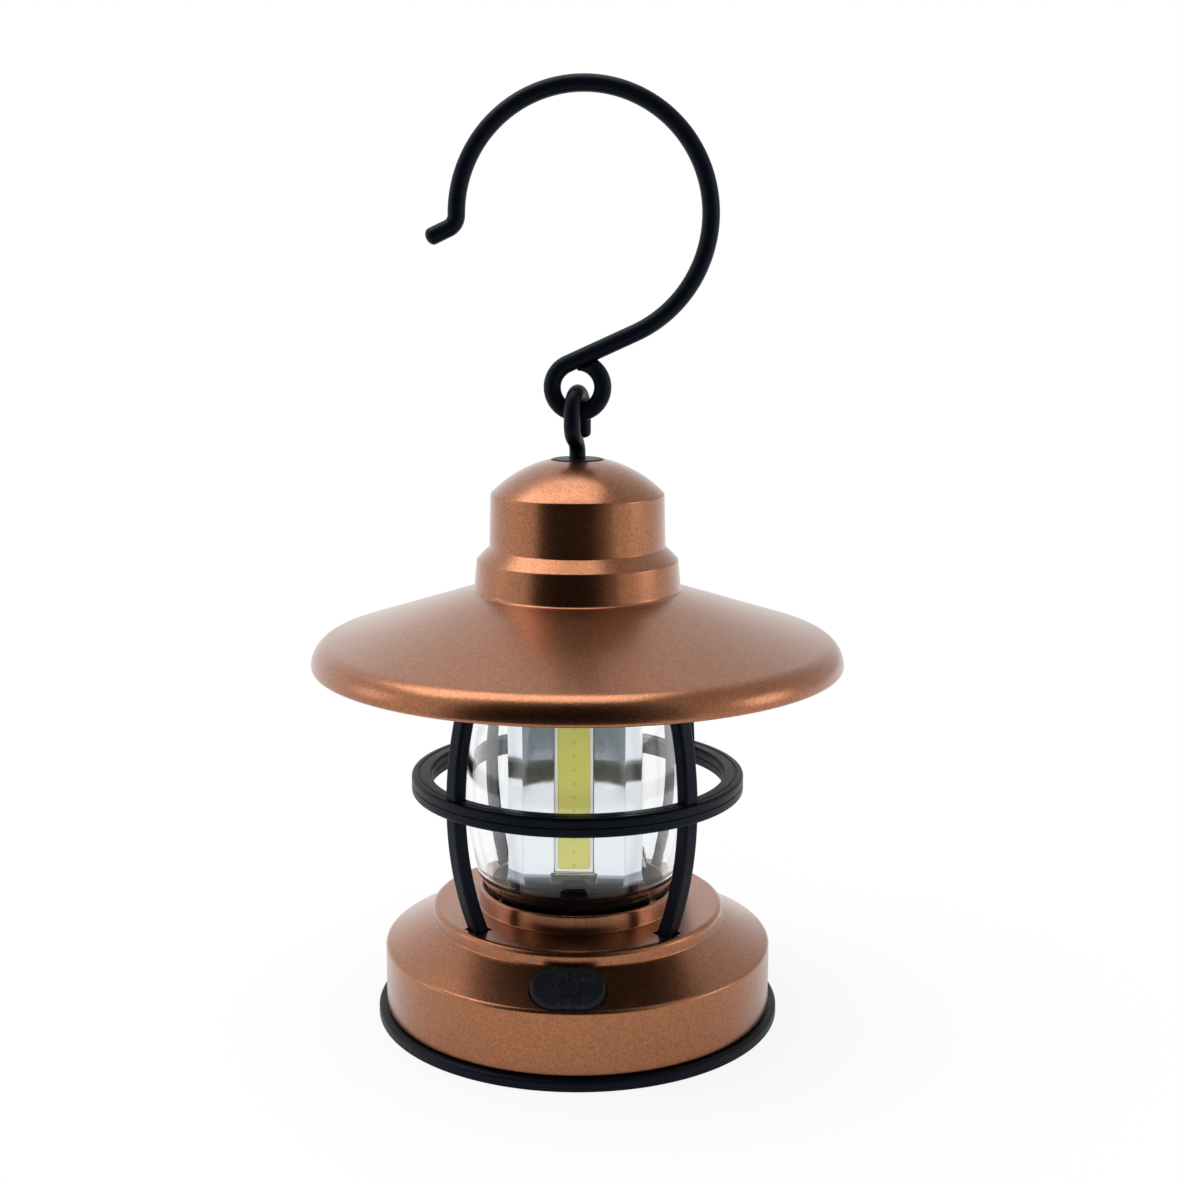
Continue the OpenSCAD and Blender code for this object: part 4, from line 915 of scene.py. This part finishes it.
both = add(tree, "ShaderNodeMixShader", {0: share.outputs[0], 1: matt.outputs[0], 2: glow.outputs[0]})
add(tree, "ShaderNodeOutputMaterial", {"Surface": both.outputs[0]})
SPAN = 3000
corners = [[(-SPAN, -SPAN, 0), (SPAN, -SPAN, 0)], [(-SPAN, SPAN, 0), (SPAN, SPAN, 0)]]
sheet("studio_floor", corners, floor_white)

# %% Surroundings
world = bpy.data.worlds.new("white_studio")
bpy.context.scene.world = world
world.use_nodes = True
tree = world.node_tree
tree.nodes.clear()
look = add(tree, "ShaderNodeTexCoord", {}).outputs["Generated"]
way = add(tree, "ShaderNodeSeparateXYZ", {"Vector": look})
ceiling = add(tree, "ShaderNodeValToRGB", {"Fac": way.outputs["Z"]})
stops = ceiling.color_ramp.elements
stops.new(0.78)
for stop, (where, value) in zip(stops, ((0.24, 1.0), (0.78, 0.84), (0.95, 0.38))):
    stop.position = where
    stop.color = (value, value, value, 1)
right = add(tree, "ShaderNodeMapRange", {
    "Value": way.outputs["X"], "From Min": 0.0, "From Max": 0.6, "To Min": 1.0, "To Max": 0.66})
room = add(tree, "ShaderNodeBackground", {
    "Color": ceiling.outputs["Color"], "Strength": right.outputs["Result"]})
behind = add(tree, "ShaderNodeBackground", {"Color": (1, 1, 1, 1), "Strength": 1.0})
camera_ray = add(tree, "ShaderNodeLightPath", {}).outputs["Is Camera Ray"]
both = add(tree, "ShaderNodeMixShader", {0: camera_ray, 1: room.outputs[0], 2: behind.outputs[0]})
add(tree, "ShaderNodeOutputWorld", {"Surface": both.outputs[0]})
print(world.name)

# %% [markdown]
# ## The lights
# One large soft light overhead makes the broad highlights of the shade and the shoulder, and a softbox on
# each side draws the bright lines along the sides of the chimney and the base. A fill in front brightens what
# is matt, such as the strips; glossy surfaces don't show it, because the photograph has no bright patch
# there.

# %% Soft lights
def soft_light(name, at, toward, size, radiance, mirrored=True):
    """A rectangular lamp that faces a point, in metres; its power is radiance times pi times its area."""
    lamp = bpy.data.lights.new(name, "AREA")
    lamp.shape = "RECTANGLE"
    lamp.size, lamp.size_y = size
    lamp.energy = radiance * math.pi * size[0] * size[1]
    box = bpy.data.objects.new(name, lamp)
    box.location = at
    box.rotation_euler = (Vector(toward) - Vector(at)).to_track_quat("-Z", "Y").to_euler()
    box.visible_camera = False
    box.visible_glossy = mirrored
    bpy.context.scene.collection.objects.link(box)
    print(name, round(lamp.energy, 2), "W")


soft_light("overhead_softbox", (-0.2, 0.05, 0.63), (-0.2, 0.05, 0), (0.72, 0.36), 2.9)
soft_light("right_side_softbox", (0.8, -0.06, 0.23), (0, 0, 0.08), (0.3, 0.32), 2.2)
soft_light("left_side_softbox", (-0.8, 0.0, 0.25), (0, 0, 0.08), (0.22, 0.32), 1.25)
soft_light("front_fill", (0.05, -0.8, 0.17), (0, 0, 0.05), (0.5, 0.4), 3.7, mirrored=False)

# %% [markdown]
# ## The room in front
# Paint and mirrors show what is in front of them. A dark room there gives the chimney its dark middle band
# and the mirrors their dark upper parts; a grey table lies before it, and a grey corner closes it on the
# right. They are matt sheets for reflections only: the camera doesn't see them, and they take no light away.

# %% Dark room in front
def dark_cloth(name, colour, line, turn=(-50, 30)):
    """A matt sheet in front of the lantern: a line of radius and height in millimetres, turned between two
    angles, in degrees to the right of the front: (r sin a, -r cos a, z)."""
    cloth = new_finish(name, {"Base Color": linear(colour), "Roughness": 1.0, "Specular IOR Level": 0.0})[0]
    a = np.radians(np.linspace(*turn, 24))[None]
    r, z = np.array(line).T[..., None]
    piece = sheet(name, np.stack([r * np.sin(a), -r * np.cos(a), z + 0 * a], -1), cloth)
    piece.visible_camera = piece.visible_diffuse = piece.visible_shadow = False


dark_cloth("grey_table_in_front", "#545e6c", [[175, 0.5], [330, 0.5]])
room_line = [[330, 0.4], [700, 0.4], [700, 700], [250, 930]]
dark_cloth("dark_room_in_front", "#08080a", room_line)
dark_cloth("grey_corner_of_the_room", "#6a6a6e", room_line, turn=(30, 48))

# %% Measure the visual model
new_low, new_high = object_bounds()
past = max(*(new_high - cad_high), *(cad_low - new_low)) / MM
print("visual model past the packed one by", round(past, 3), "mm")
